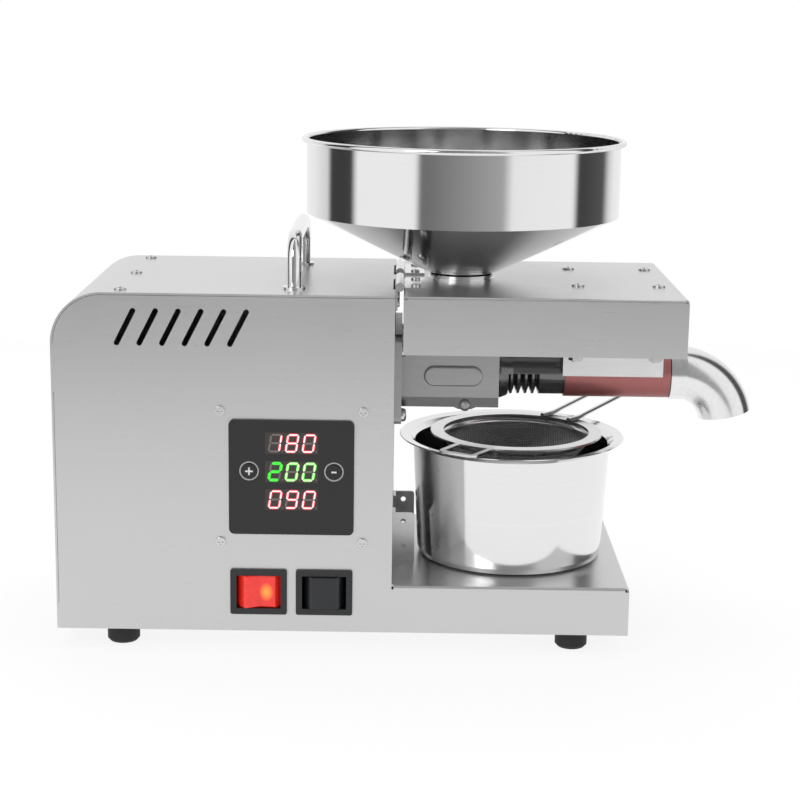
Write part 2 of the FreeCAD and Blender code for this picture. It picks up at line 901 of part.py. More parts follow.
# ---- gears
def gear(teeth, module, face, x, y, z, bore, turn):
    """A spur gear about x with involute flanks and a little backlash."""
    pitch_r = module * teeth / 2
    base_r = pitch_r * math.cos(math.radians(pressure_angle))
    tip_r = pitch_r + module
    root_r = pitch_r - module - gear_root_gap

    def involute(radius):
        ratio = base_r / max(radius, base_r)
        a = math.acos(min(1, ratio))
        return math.tan(a) - a

    half_at_pitch = math.pi / (2 * teeth) - backlash / (2 * pitch_r)
    offset = half_at_pitch + involute(pitch_r)
    start_r = max(base_r, root_r)
    radii = [start_r + (tip_r - start_r) * n / 3 for n in range(4)]
    points = []
    for tooth in range(teeth):
        middle = 2 * math.pi * tooth / teeth + turn
        flank = [(r, offset - involute(r)) for r in radii]
        side = ([(root_r, flank[0][1])] if root_r < start_r else []) + flank
        points += [(r, middle - a) for r, a in side]
        points += [(r, middle + a) for r, a in reversed(side)]
    outline = [(r * math.cos(a), r * math.sin(a)) for r, a in points]
    solid = plate(outline, face, Y_AXIS, Z_AXIS, V(x, y, z))
    return solid.cut(rod(x, y, z, X_AXIS, bore, face)) if bore else solid


def make_gear_train():
    fit = shaft_fit
    wall = gearbox_wall
    # a tooth of each pinion points straight up, and a gap of each wheel straight down
    output = gear(output_wheel_teeth, second_module, second_face, second_wheel_x, 0, axis_z,
                  output_shaft_radius, -math.pi / 2 + math.pi / output_wheel_teeth)
    idler_parts = [
        gear(idler_wheel_teeth, first_module, first_face, first_wheel_x, 0, idler_z, 0,
             -math.pi / 2 + math.pi / idler_wheel_teeth),
        gear(idler_pinion_teeth, second_module, second_face, second_wheel_x, 0, idler_z, 0, math.pi / 2),
        rod(gearbox_left + shaft_end_gap, 0, idler_z, X_AXIS, idler_shaft_radius,
            wall_inner_x - gearbox_left - 2 * shaft_end_gap)]
    save("output_gear", output)
    save("idler_gear", joined(idler_parts))
    pinion = gear(motor_pinion_teeth, first_module, first_face, first_wheel_x, 0, motor_z, 0, math.pi / 2)
    motor_left = motor_right - motor_length
    shaft_left = motor_left + motor_shaft_inset
    shaft = rod(shaft_left, 0, motor_z, X_AXIS, motor_shaft_radius, first_wheel_x + first_face - shaft_left)
    core = rod(motor_left + rotor_end_room, 0, motor_z, X_AXIS, rotor_radius,
               motor_length - 2 * rotor_end_room)
    save("motor_rotor", joined([shaft, core, pinion]))
    # case, lid and bearings
    low = motor_z - gearbox_sump - wall
    output_tip = (output_wheel_teeth / 2 + 1) * second_module
    high = axis_z + output_tip + gearbox_room + wall
    half = gearbox_half_width
    room = block(gearbox_left + wall, wall_inner_x - wall, -half + wall, half - wall,
                 low + wall, high - wall)
    outer = block(gearbox_left + wall, wall_inner_x, -half, half, low, high)
    wall_shafts = [(axis_z, output_shaft_radius), (idler_z, idler_shaft_radius)]
    lid_shafts = wall_shafts + [(motor_z, motor_shaft_radius)]
    seats = [rod(wall_inner_x - wall, 0, z, X_AXIS, r + bearing_width, wall) for z, r in wall_shafts]
    save("gearbox_case", without(outer, [room] + seats))
    lid = block(gearbox_left, gearbox_left + wall, -half, half, low, high)
    lid_seats = [rod(gearbox_left, 0, z, X_AXIS, r + bearing_width, wall) for z, r in lid_shafts]
    save("gearbox_lid", without(lid, lid_seats))
    bearings = [ring(x, 0, z, X_AXIS, r + bearing_width, r + fit, wall)
                for x, shafts in ((wall_inner_x - wall, wall_shafts), (gearbox_left, lid_shafts))
                for z, r in shafts]
    save_group("gear_bearings", bearings)


def make_motor():
    left = motor_right - motor_length
    wall = motor_wall
    can = rod(left, 0, motor_z, X_AXIS, motor_radius, motor_length)
    can = can.cut(rod(left + wall, 0, motor_z, X_AXIS, motor_radius - wall, motor_length - 2 * wall))
    stator = ring(left + stator_end_room, 0, motor_z, X_AXIS, motor_radius - wall,
                  rotor_radius + rotor_gap, motor_length - 2 * stator_end_room)
    can = can.fuse(stator)
    can = can.cut(rod(left + motor_back_wall, 0, motor_z, X_AXIS, motor_shaft_radius + shaft_fit,
                      motor_length))
    save("motor_housing", can)
    studs = [rod(motor_right, y, motor_z + rise, X_AXIS, stud_radius, motor_gap) for y, rise in
             ((-stud_spread, 0), (stud_spread, 0), (0, stud_spread))]
    save_group("motor_studs", studs)
    middle = left + motor_length / 2
    base = body_bottom + floor_plate_thickness
    cradle = block(middle - cradle_length / 2, middle + cradle_length / 2, -cradle_half_width,
                   cradle_half_width, base, motor_z - motor_radius + cradle_rise)
    seat = rod(left, 0, motor_z, X_AXIS, motor_radius + cradle_gap, motor_length)
    save("motor_cradle", cradle.cut(seat))


# ---- fan
def make_fan():
    x0 = -body_length + sheet
    half = fan_size / 2
    frame = block(x0, x0 + fan_depth, -half, half, fan_centre_z - half, fan_centre_z + half)
    cuts = [rod(x0, 0, fan_centre_z, X_AXIS, fan_bore, fan_depth)]
    frame = without(frame, cuts)
    back = x0 + fan_depth - fan_plate
    reach = half - fan_arm_inset
    thin = fan_arm_width / 2
    arms = [block(back, back + fan_plate, -reach, reach, fan_centre_z - thin, fan_centre_z + thin),
            block(back, back + fan_plate, -thin, thin, fan_centre_z - reach, fan_centre_z + reach),
            rod(back, 0, fan_centre_z, X_AXIS, fan_hub_radius, fan_plate)]
    frame = joined([frame] + arms)
    bolt_cuts = [rod(x0, y, z, X_AXIS, screw_shank_radius + shaft_hole_gap, fan_depth)
                 for y, z in fan_corners()]
    bolt_cuts.append(rod(back, 0, fan_centre_z, X_AXIS, fan_shaft_radius + shaft_fit, fan_plate))
    save("fan_frame", without(frame, bolt_cuts))
    hub_x = x0 + fan_hub_start
    hub_length = fan_depth - fan_plate - fan_hub_room
    hub = rod(hub_x, 0, fan_centre_z, X_AXIS, fan_hub_radius, hub_length)
    parts = [hub, rod(hub_x, 0, fan_centre_z, X_AXIS, fan_shaft_radius, fan_depth - fan_hub_start)]
    for n in range(fan_blade_count):
        middle_x = hub_x + hub_length / 2
        blade = block(middle_x - hub_length * 0.52, middle_x + hub_length * 0.52,
                      -fan_blade_thickness / 2, fan_blade_thickness / 2,
                      fan_centre_z + fan_hub_radius - fan_blade_root, fan_centre_z + fan_blade_radius)
        blade.rotate(V(middle_x, 0, fan_centre_z), Z_AXIS, fan_blade_angle)
        blade.rotate(V(middle_x, 0, fan_centre_z), X_AXIS, 360 * n / fan_blade_count)
        parts.append(blade)
    rotor = joined(parts)
    limit = rod(hub_x, 0, fan_centre_z, X_AXIS, fan_blade_radius, fan_depth)
    save("fan_rotor", rotor.common(limit))
    return [cross_screw(-body_length, y, z, X_AXIS * -1, screw_head_radius, screw_head_height,
                        screw_shank_radius, fan_depth * 0.6) for y, z in fan_corners()]


# ---- power inlet
def make_power_inlet():
    y1 = body_back
    w, h = inlet_mouth_width / 2, inlet_mouth_height / 2
    half_face = inlet_height / 2 + inlet_margin
    face = rounded_plate(inlet_x - inlet_width / 2, inlet_x + inlet_width / 2, inlet_z - half_face,
                         inlet_z + half_face, y1, y1 + inlet_flange, inlet_corner)
    body = block(inlet_x - w - inlet_wall, inlet_x + w + inlet_wall, y1 - inlet_body_depth, y1,
                 inlet_z - h - inlet_wall, inlet_z + h + inlet_wall)
    bevel = inlet_mouth_corner
    mouth = [(-w, -h), (w, -h), (w, h - bevel), (w - bevel, h), (-w + bevel, h), (-w, h - bevel)]
    hole = plate(mouth, inlet_mouth_depth + inlet_flange, X_AXIS, Z_AXIS,
                 V(inlet_x, y1 + inlet_flange, inlet_z))
    shell = face.fuse(body).cut(hole)
    holes = [rod(inlet_x + s * inlet_screw_span / 2, y1, inlet_z, Y_AXIS,
                 screw_shank_radius + shaft_hole_gap, inlet_flange) for s in (-1, 1)]
    shell = without(shell, holes)
    bottom = y1 - inlet_mouth_depth
    pins = []
    for n, rise in ((-1, -inlet_pin_rise), (0, inlet_pin_rise), (1, -inlet_pin_rise)):
        x = inlet_x + n * inlet_pin_pitch
        pins.append(block(x - inlet_pin_thickness / 2, x + inlet_pin_thickness / 2, bottom,
                          bottom + inlet_pin_length, inlet_z + rise - inlet_pin_width / 2,
                          inlet_z + rise + inlet_pin_width / 2))
    save("power_inlet", shell)
    save_group("inlet_pins", pins)
    return [cross_screw(inlet_x + s * inlet_screw_span / 2, y1 + inlet_flange, inlet_z, Y_AXIS,
                        screw_head_radius, screw_head_height, screw_shank_radius,
                        inlet_flange + sheet + inlet_screw_tail) for s in (-1, 1)]


# ---- press head
def make_head_flange():
    y = flange_half_width
    solid = rounded_plate_x(0, flange_thickness, -y, y, axis_z - flange_below_axis,
                            axis_z + flange_above_axis, flange_corner)
    cuts = [rod(0, 0, axis_z, X_AXIS, output_shaft_radius + flange_hole_gap, flange_thickness)]
    for by, bz in flange_bolt_places():
        cuts.append(rod(0, by, bz, X_AXIS, bolt_core_radius + shaft_hole_gap, flange_thickness))
    save("head_flange", without(solid, cuts))
    save_group("head_bolts", [
        dome_bolt(flange_thickness, by, bz, X_AXIS, flange_bolt_radius, flange_bolt_head,
                  bolt_core_radius, flange_thickness + bearing_wall_thickness)
        for by, bz in flange_bolt_places()])


def rounded_plate_x(x0, x1, y0, y1, z0, z1, radius):
    solid = block(x0, x1, y0, y1, z0, z1)
    corners = [e for e in solid.Edges if abs(e.tangentAt(e.FirstParameter).x) > 0.99]
    return solid.makeFillet(radius, corners)


def make_chamber():
    x0 = flange_thickness
    x1 = x0 + housing_length
    w = housing_half_width
    wall = housing_wall
    outer = block(x0, x1, -w, w, housing_bottom, housing_top)
    inner = block(x0, x1, -w + wall, w - wall, housing_bottom, housing_top - wall)
    radius = pill_height / 2
    middle = axis_z - pill_below_axis
    pill = joined([
        block(pill_left + radius, pill_left + pill_length - radius, -w - pill_rise, -w,
              middle - radius, middle + radius),
        rod(pill_left + radius, -w - pill_rise, middle, Y_AXIS, radius, pill_rise),
        rod(pill_left + pill_length - radius, -w - pill_rise, middle, Y_AXIS, radius, pill_rise)])
    front_edges = [e for e in pill.Edges if abs(e.CenterOfMass.y + w + pill_rise) < 0.01]
    pill = pill.makeFillet(pill_rise * 0.8, front_edges)
    feed = rod(hopper_x, 0, axis_z, Z_AXIS, hopper_neck_radius - hopper_wall, housing_top - axis_z)
    shell = outer.cut(inner).fuse(pill).cut(feed)
    save("chamber_housing", shell.removeSplitter())
    # the block inside: a bore for the screw and a feed throat from above
    top = housing_top - wall - seam
    side = w - wall - seam
    chamber = block(x0, x1, -side, side, housing_bottom + seam, top)
    bore = rod(x0, 0, axis_z, X_AXIS, bore_radius, housing_length)
    throat = rod(hopper_x, 0, axis_z, Z_AXIS, bore_radius, top - axis_z)
    mouth_top = hopper_neck_radius - hopper_wall
    funnel = Part.makeCone(bore_radius, mouth_top, funnel_depth, V(hopper_x, 0, top - funnel_depth), Z_AXIS)
    save("feed_chamber", without(chamber, [bore, throat, funnel]))
    # dark plate below, with a boss for the clamping bolt
    low = housing_bottom - base_lip_height
    front = -w + base_inset
    lip = block(x0, x1, front, -front, low, housing_bottom)
    boss_half = base_boss_width / 2
    outline = [(-boss_half, 0), (-boss_half + boss_slope, -base_boss_drop),
               (boss_half - boss_slope, -base_boss_drop), (boss_half, 0)]
    boss = plate(outline, -base_boss_depth, X_AXIS, Z_AXIS, V(base_boss_x, front, low))
    bolt_z = low + base_bolt_rise
    head = dome_bolt(base_boss_x, front, bolt_z, Y_AXIS * -1, base_bolt_radius * 0.9,
                     base_bolt_head, screw_shank_radius, base_bolt_length)
    hole = rod(base_boss_x, front, bolt_z, Y_AXIS, screw_shank_radius + shaft_hole_gap, base_bolt_length)
    save("chamber_base", joined([lip, boss]).cut(hole))
    save("chamber_bolt", head)


def make_barrel():
    """The pressing barrel: a tapered collar, the oil comb, then a plain tube."""
    x0 = flange_thickness + housing_length
    outline = [(bore_radius, 0), (cone_radius, 0), (cone_radius, cone_edge), (barrel_radius, cone_length),
               (barrel_radius, barrel_length), (bore_radius, barrel_length)]
    solid = turned(outline, V(x0, 0, axis_z), X_AXIS)
    pitch = comb_length / comb_teeth
    cuts = []
    for n in range(comb_teeth):
        left = comb_start + pitch * n
        root = barrel_radius - comb_tip_drop - comb_depth
        notch = [(root, left), (barrel_radius + 1, left - pitch * 0.42),
                 (barrel_radius + 1, left + pitch * 0.42)]
        ring_cut = turned([(r, h - x0) for r, h in notch], V(x0, 0, axis_z), X_AXIS)
        lower = block(left - pitch, left + pitch, -barrel_radius - 2, barrel_radius + 2,
                      axis_z - barrel_radius - 2, axis_z)
        cuts.append(ring_cut.common(lower))
        cuts.append(block(left - slot_width / 2, left + slot_width / 2, -bore_radius * 0.7,
                          bore_radius * 0.7, axis_z - barrel_radius - 1, axis_z - bore_radius * 0.6))
    save("press_barrel", without(solid, cuts))


def make_sleeve():
    inner = barrel_radius + sleeve_gap
    save("heater_sleeve", ring(sleeve_start, 0, axis_z, X_AXIS, sleeve_radius, inner, sleeve_length))


def elbow(radius):
    """A round bar swept along the spout's bend."""
    centre = V(elbow_x, 0, axis_z)
    disc = Part.Face(Part.Wire(Part.makeCircle(radius, centre, X_AXIS)))
    pivot = V(elbow_x, 0, axis_z - elbow_radius)
    return disc.revolve(pivot, Y_AXIS, elbow_angle)


def make_spout():
    x0 = barrel_end
    outer = joined([rod(x0, 0, axis_z, X_AXIS, collar_radius, collar_length), elbow(spout_radius)])
    bore = joined([rod(x0, 0, axis_z, X_AXIS, spout_bore, elbow_start), elbow(spout_bore)])
    save("cake_spout", outer.cut(bore))


def make_press_screw():
    """The pressing screw: a core that thickens towards the spout, with a helical flight."""
    x0 = screw_start
    x1 = screw_start + screw_length
    shaft_left = gearbox_left + shaft_end_gap
    shaft = rod(shaft_left, 0, axis_z, X_AXIS, output_shaft_radius, x0 - shaft_left)
    core = Part.makeCone(screw_core_radius, screw_core_end_radius, screw_length, V(x0, 0, axis_z), X_AXIS)
    tip = Part.makeCone(screw_core_end_radius, screw_core_end_radius * 0.6, screw_tip_length,
                        V(x1, 0, axis_z), X_AXIS)
    flight_length = flight_pitch * flight_turns
    helix = Part.makeHelix(flight_pitch, flight_length, helix_radius)
    root = screw_core_radius - flight_sink
    outline = [V(root, 0, -flight_width / 2), V(flight_radius, 0, -flight_width / 3),
               V(flight_radius, 0, flight_width / 3), V(root, 0, flight_width / 2)]
    profile = Part.makePolygon(outline + outline[:1])
    flight = Part.Wire(helix).makePipeShell([profile], True, True)
    flight.rotate(V(0, 0, 0), Y_AXIS, 90)
    flight.translate(V(x0 + (screw_length - flight_length) / 2, 0, axis_z))
    save("press_screw", shaft.fuse(core).fuse(tip).fuse(flight))


# ---- cover and hinges
def make_cover():
    x0, x1 = cover_left, cover_left + cover_length
    y0, y1 = body_front, body_back
    bottom = cover_top - cover_drop
    outer = folded_block(x0, x1, y0, y1, bottom, cover_top, (x0, x1))
    inner = block(x0 + sheet, x1 - sheet, y0 + sheet, y1 - sheet, bottom, cover_top - sheet)
    relief = cover_corner_relief
    cuts = [inner, rod(hopper_x, 0, cover_top - sheet, Z_AXIS, hopper_neck_radius + cover_hole_gap, sheet)]
    for x in (x0, x1):
        for y in (y0, y1):
            cuts.append(block(x - relief, x + relief, y - relief, y + relief, cover_top - relief, cover_top))
    for x, y in cover_screw_places():
        cuts.append(rod(x, y, cover_top - sheet, Z_AXIS, cover_screw_radius + shaft_hole_gap, sheet))
    for y in hinge_starts():
        for inset in hinge_screw_insets():
            cuts.append(rod(hinge_pin_x + hinge_screw_x, y + inset, cover_top - sheet, Z_AXIS,
                            screw_shank_radius + shaft_hole_gap, sheet))
    save("press_cover", without(outer, cuts))
    screws, nuts = [], []
    for x, y in cover_screw_places():
        screws.append(cross_screw(x, y, cover_top, Z_AXIS, cover_screw_head_radius, screw_head_height,
                                  cover_screw_radius, cover_screw_length))
        # one nut above the shield, and a nut with a lock nut below it
        for z in (shield_z - 2 * nut_height, shield_z - nut_height, shield_z + shield_thickness):
            nuts.append(hexagon(x, y, z, nut_radius, nut_height, cover_screw_radius + shaft_hole_gap))
    save_group("cover_screws", screws)
    save_group("shield_nuts", nuts)


def make_heat_shield():
    """A plate hung on the cover's long screws, with two webs beside the heater sleeve."""
    x0, x1 = shield_left, shield_left + shield_length
    y0 = cover_screw_first_y - shield_edge
    y1 = cover_screw_first_y + cover_screw_pitch_y + shield_edge
    flat = block(x0, x1, y0, y1, shield_z, shield_z + shield_thickness)
    webs = [block(x0, x1, y, y + shield_thickness, shield_z - shield_web_drop, shield_z)
            for y in (-shield_web_y, shield_web_y - shield_thickness)]
    holes = [rod(x, y, shield_z, Z_AXIS, cover_screw_radius + shaft_hole_gap, shield_thickness)
             for x, y in cover_screw_places()]
    save("heat_shield", without(joined([flat] + webs), holes))


def knuckle_spans(first):
    step = hinge_length / knuckle_count
    return [(step * n, step * (n + 1)) for n in range(knuckle_count) if n % 2 == first]


def hinge_knuckles(y, first):
    """One leaf's share of the knuckles: the spans along y, with a small gap beside each."""
    spans = []
    for low, high in knuckle_spans(first):
        start = y + low + (knuckle_gap / 2 if low > 0 else 0)
        end = y + high - (knuckle_gap / 2 if high < hinge_length - 0.01 else 0)
        spans.append((start, end))
    return spans


def hinge_leaf_with_knuckles(y, leaf, arms, spans):
    knuckles = [rod(hinge_pin_x, start, hinge_pin_z, Y_AXIS, knuckle_radius, end - start)
                for start, end in spans]
    pin_hole = rod(hinge_pin_x, y, hinge_pin_z, Y_AXIS, hinge_pin_radius + hinge_pin_gap, hinge_length)
    return joined([leaf] + arms + knuckles).cut(pin_hole)


def body_leaf(y):
    """The leaf that stands against the right-hand wall, below its knuckles."""
    spans = hinge_knuckles(y, 0)
    top = hinge_pin_z - knuckle_radius - knuckle_gap
    leaf = block(0, hinge_leaf, y, y + hinge_length, hinge_pin_z - hinge_leaf_drop, top)
    arms = [block(0, hinge_leaf, start, end, top, hinge_pin_z) for start, end in spans]
    holes = [rod(0, y + inset, hinge_pin_z - hinge_screw_drop, X_AXIS,
                 screw_shank_radius + shaft_hole_gap, hinge_leaf) for inset in hinge_screw_insets()]
    return without(hinge_leaf_with_knuckles(y, leaf, arms, spans), holes)


def cover_leaf(y):
    """The leaf that lies on top of the cover."""
    spans = hinge_knuckles(y, 1)
    near = hinge_pin_x + knuckle_radius + knuckle_gap
    top = cover_top + hinge_leaf
    leaf = block(near, hinge_pin_x + hinge_leaf_width, y, y + hinge_length, cover_top, top)
    arms = [block(hinge_pin_x, near, start, end, cover_top, top) for start, end in spans]
    holes = [rod(hinge_pin_x + hinge_screw_x, y + inset, cover_top, Z_AXIS,
                 screw_shank_radius + shaft_hole_gap, hinge_leaf) for inset in hinge_screw_insets()]
    return without(hinge_leaf_with_knuckles(y, leaf, arms, spans), holes)


def hinge_screw(centre, direction):
    return cross_screw(centre.x, centre.y, centre.z, direction, hinge_screw_head_radius,
                       screw_head_height, screw_shank_radius, hinge_leaf + sheet + leaf_screw_tail)


def make_hinges():
    body_leaves, cover_leaves, pins, body_screws, cover_side_screws = [], [], [], [], []
    for y in hinge_starts():
        body_leaves.append(body_leaf(y))
        cover_leaves.append(cover_leaf(y))
        pins.append(rod(hinge_pin_x, y, hinge_pin_z, Y_AXIS, hinge_pin_radius, hinge_length))
        for inset in hinge_screw_insets():
            body_screws.append(hinge_screw(
                V(hinge_leaf, y + inset, hinge_pin_z - hinge_screw_drop), X_AXIS))
            cover_side_screws.append(hinge_screw(
                V(hinge_pin_x + hinge_screw_x, y + inset, cover_top + hinge_leaf), Z_AXIS))
    save_group("hinge_body_leaves", body_leaves)
    save_group("hinge_cover_leaves", cover_leaves)
    save_group("hinge_pins", pins)
    save_group("hinge_cover_screws", cover_side_screws)
    return body_screws


# ---- hopper
def make_hopper():
    """Turned sheet: rolled rim, straight side, cone and a short neck into the press."""
    wall = hopper_wall
    rim_z = hopper_rim_z - hopper_bead
    side = hopper_side_radius
    neck = hopper_neck_radius
    foot = hopper_cone_foot
    neck_bottom = housing_top + neck_clearance
    outline = [
        (side, rim_z), (side, hopper_side_bottom), (neck, foot), (neck, neck_bottom),
        (neck - wall, neck_bottom), (neck - wall, foot + wall * 0.4),
        (side - wall, hopper_side_bottom + wall * 0.4), (side - wall, rim_z)]
    shell = turned(outline, V(hopper_x, 0, 0), Z_AXIS)
    bead = Part.makeTorus(hopper_rim_radius, hopper_bead, V(hopper_x, 0, rim_z), Z_AXIS)
    save("hopper", joined([shell, bead]))
    # the collar is two beads with a groove between, around the neck
    outer, height, bead = hopper_collar_radius, hopper_collar_height, collar_bead
    waist = outer - collar_groove
    outline = [(neck, 0), (outer, 0), (outer, bead), (waist, bead), (waist, height - bead),
               (outer, height - bead), (outer, height), (neck, height)]
    save("hopper_collar", turned(outline, V(hopper_x, 0, cover_top), Z_AXIS))


# ---- handle and top screws
def make_handle():
    front, back = handle_posts()
    bend = handle_bend
    top = handle_top_z - handle_radius
    low = body_top - handle_thread
    wire = bent_wire([V(handle_x, front, low), V(handle_x, front, top), V(handle_x, back, top),
                      V(handle_x, back, low)], (bend, bend))
    start = Part.Wire(Part.makeCircle(handle_radius, V(handle_x, front, low), Z_AXIS))
    save("carry_handle", wire.makePipeShell([start], True, False))
    inner = handle_radius + shaft_hole_gap
    washers = [ring(handle_x, y, body_top, Z_AXIS, handle_washer_radius, inner, handle_washer)
               for y in (front, back)]
    nuts = [hexagon(handle_x, y, body_top - sheet - handle_nut_height, handle_nut_radius,
                    handle_nut_height, inner) for y in (front, back)]
    save_group("handle_nuts", washers + nuts)


def make_top_screws():
    return [cross_screw(x, y, body_top, Z_AXIS, top_screw_head_radius, screw_head_height,
                        screw_shank_radius, sheet + screw_tail) for x, y in top_screw_places()]


# ---- pot and sieve
def make_pot():
    wall = pot_wall
    foot, top, rim = pot_foot_radius, pot_top_radius, pot_rim_radius
    low, high = tray_top, pot_rim_z
    lip = pot_edge / 2
    bend = pot_base_round
    outline = [
        (0, low), (foot - bend, low), (foot - bend * 0.25, low + bend * 0.3), (foot, low + bend),
        (top, high - pot_rim_drop), (top + pot_flare, high - pot_rim_drop * 0.45),
        (rim - lip, high - pot_edge), (rim, high - lip), (rim - lip, high),
        (top + pot_flare * 0.88, high - pot_rim_drop * 0.45 + wall),
        (top - wall, high - pot_rim_drop + wall * 0.4), (foot - wall, low + bend + wall * 0.3),
        (foot - wall - bend * 0.25, low + wall + bend * 0.325),
        (foot - bend - wall * 0.6, low + wall), (0, low + wall)]
    save("oil_pot", turned(outline, V(pot_x, pot_y, 0), Z_AXIS))


def sieve_point(angle, radius, z):
    a = math.radians(angle)
    return V(sieve_x + radius * math.cos(a), sieve_y + radius * math.sin(a), z)


def make_sieve():
    z = pot_rim_z + sieve_gap
    t = sieve_ring_thickness
    outer, inner = sieve_ring_radius, sieve_ring_inner
    outline = [(inner, z), (outer, z), (outer, z + t), (inner, z + t)]
    # the ear is an open loop of strip that lies on the edge of the pot's rim
    a = math.radians(sieve_ear_angle)
    offset = (pot_x - sieve_x) * math.cos(a) + (pot_y - sieve_y) * math.sin(a)
    reach = pot_rim_radius + offset + ear_rest
    half = sieve_ear_width / 2
    strip = sieve_ear_strip
    ear = block(inner + sieve_seat, reach, -half, half, 0, t)
    far_corners = [e for e in ear.Edges if abs(e.tangentAt(e.FirstParameter).z) > 0.99
                   and e.CenterOfMass.x > reach - 0.1]
    ear = ear.makeFillet(sieve_ear_corner, far_corners)
    window = block(outer - 1, reach - strip, -half + strip, half - strip, 0, t)
    far_corners = [e for e in window.Edges if abs(e.tangentAt(e.FirstParameter).z) > 0.99
                   and e.CenterOfMass.x > reach - strip - 0.1]
    ear = ear.cut(window.makeFillet(sieve_ear_corner - strip, far_corners))
    ear.rotate(V(0, 0, 0), Z_AXIS, sieve_ear_angle)
    ear.translate(V(sieve_x, sieve_y, z))
    ring_band = turned(outline, V(sieve_x, sieve_y, 0), Z_AXIS)
    save("sieve_ring", joined([ring_band, ear]))
    # the woven bowl hangs under the ring
    depth = sieve_bowl_depth
    mouth = inner + sieve_seat
    sphere_r = (mouth ** 2 + depth ** 2) / (2 * depth)
    centre = V(sieve_x, sieve_y, z - depth + sphere_r)
    cap = Part.makeSphere(sphere_r, centre).cut(Part.makeSphere(sphere_r - sieve_mesh, centre))
    below = Part.makeCylinder(mouth + 1, depth + 1, V(sieve_x, sieve_y, z - depth - 1), Z_AXIS)
    save("sieve_mesh", cap.common(below))
    # two wires lie across the ring, then rise outside it to a rounded loop
    wire_z = z + t + sieve_wire
    near = sieve_point(sieve_wire_near_angle, inner - sieve_wire_inset, wire_z)
    far = sieve_point(sieve_wire_far_angle, inner - sieve_wire_inset, wire_z)
    a = math.radians(sieve_handle_angle)
    outward = V(math.cos(a), math.sin(a), 0)
    across = V(-math.sin(a), math.cos(a), 0)
    rise = math.radians(sieve_handle_rise)
    upward = outward * math.cos(rise) + Z_AXIS * math.sin(rise)
    half = (far - near).dot(across) / 2
    middle = (near + far) * 0.5
    middle_reach = (middle - V(sieve_x, sieve_y, wire_z)).dot(outward)
    edge = middle + outward * (outer - middle_reach)
    loop = edge + upward * (sieve_handle_reach - outer)
    path = bent_wire([middle - across * half, edge - across * half, loop - across * half,
                      loop + across * half, edge + across * half, middle + across * half],
                     (sieve_handle_bend, half * 0.8, half * 0.8, sieve_handle_bend))
    start = Part.Wire(Part.makeCircle(sieve_wire, middle - across * half, outward))
    save("sieve_handle", path.makePipeShell([start], True, False))


# ---- brackets
def make_brackets():
    solids, screws = [], []
    t = bracket_thickness
    low, high = tray_top, tray_top + bracket_height
    for side in (-1, 1):
        outer_y = side * bracket_y
        web_y = sorted((outer_y, outer_y - side * t))
        web = block(0, bracket_width, web_y[0], web_y[1], low, high)
        corner = [e for e in web.Edges if abs(e.tangentAt(e.FirstParameter).y) > 0.99
                  and e.CenterOfMass.x > bracket_width / 2 and e.CenterOfMass.z > high - 1]
        web = web.makeFillet(bracket_corner, corner)
        flange_y = sorted((outer_y, outer_y - side * bracket_flange))
        flange = block(0, t, flange_y[0], flange_y[1], low, high)
        holes = [rod(bracket_hole_x, web_y[0], low + rise, Y_AXIS, bracket_hole, t)
                 for rise in bracket_hole_rises]
        screw_y = bracket_screw_places()[0 if side < 0 else 1]
        holes.append(rod(0, screw_y, low + bracket_screw_rise, X_AXIS,
                         screw_shank_radius + shaft_hole_gap, t))
        solids.append(without(joined([web, flange]), holes))
        screws.append(cross_screw(t, screw_y, low + bracket_screw_rise, X_AXIS, screw_head_radius,
                                  screw_head_height, screw_shank_radius,
                                  t + bearing_wall_thickness + leaf_screw_tail))
    save_group("tray_brackets", solids)
    return screws


def main():
    os.makedirs("parts", exist_ok=True)
    save("front_panel", make_front_panel())
    save("rear_panel", make_rear_panel())
    save("top_wrap", make_top_wrap())
    save("end_vent_panel", make_end_vent_panel())
    save("bearing_wall", make_bearing_wall())
    save("bottom_plate", make_bottom_plate())
    save("base_tray", make_base_tray())
    make_feet()
    casing_screws = make_display()
    save("plus_button", make_button(plus_x))
    save("minus_button", make_button(minus_x))
    make_control_board()
    save("power_switch_body", make_switch_body(power_switch_left))
    save("motor_switch_body", make_switch_body(motor_switch_left))
    save("power_rocker", make_rocker(power_switch_left, rocker_dish, power_rocker_tilt))
    save("motor_rocker", make_rocker(motor_switch_left, 0, 0))
    make_gear_train()
    make_motor()
    casing_screws += make_fan()
    casing_screws += make_power_inlet()
    make_head_flange()
    make_chamber()
    make_barrel()
    make_sleeve()
    make_spout()
    make_press_screw()
    make_cover()
    make_heat_shield()
    casing_screws += make_hinges()
    make_hopper()
    make_handle()
    casing_screws += make_top_screws()
    casing_screws += make_brackets()
    save_group("casing_screws", casing_screws)
    make_pot()
    make_sieve()


main()
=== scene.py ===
# %% [markdown]
# # A table-top screw oil press
# The press comes in as solids at their real size. This lesson gives each of them its finish,
# adds the thin things that a maker would print, weave or roll, and lights it all like a small
# product studio. Every length is in metres.

# %% Load the press
import json
import math
import bpy
import bmesh
from mathutils import Matrix, Vector


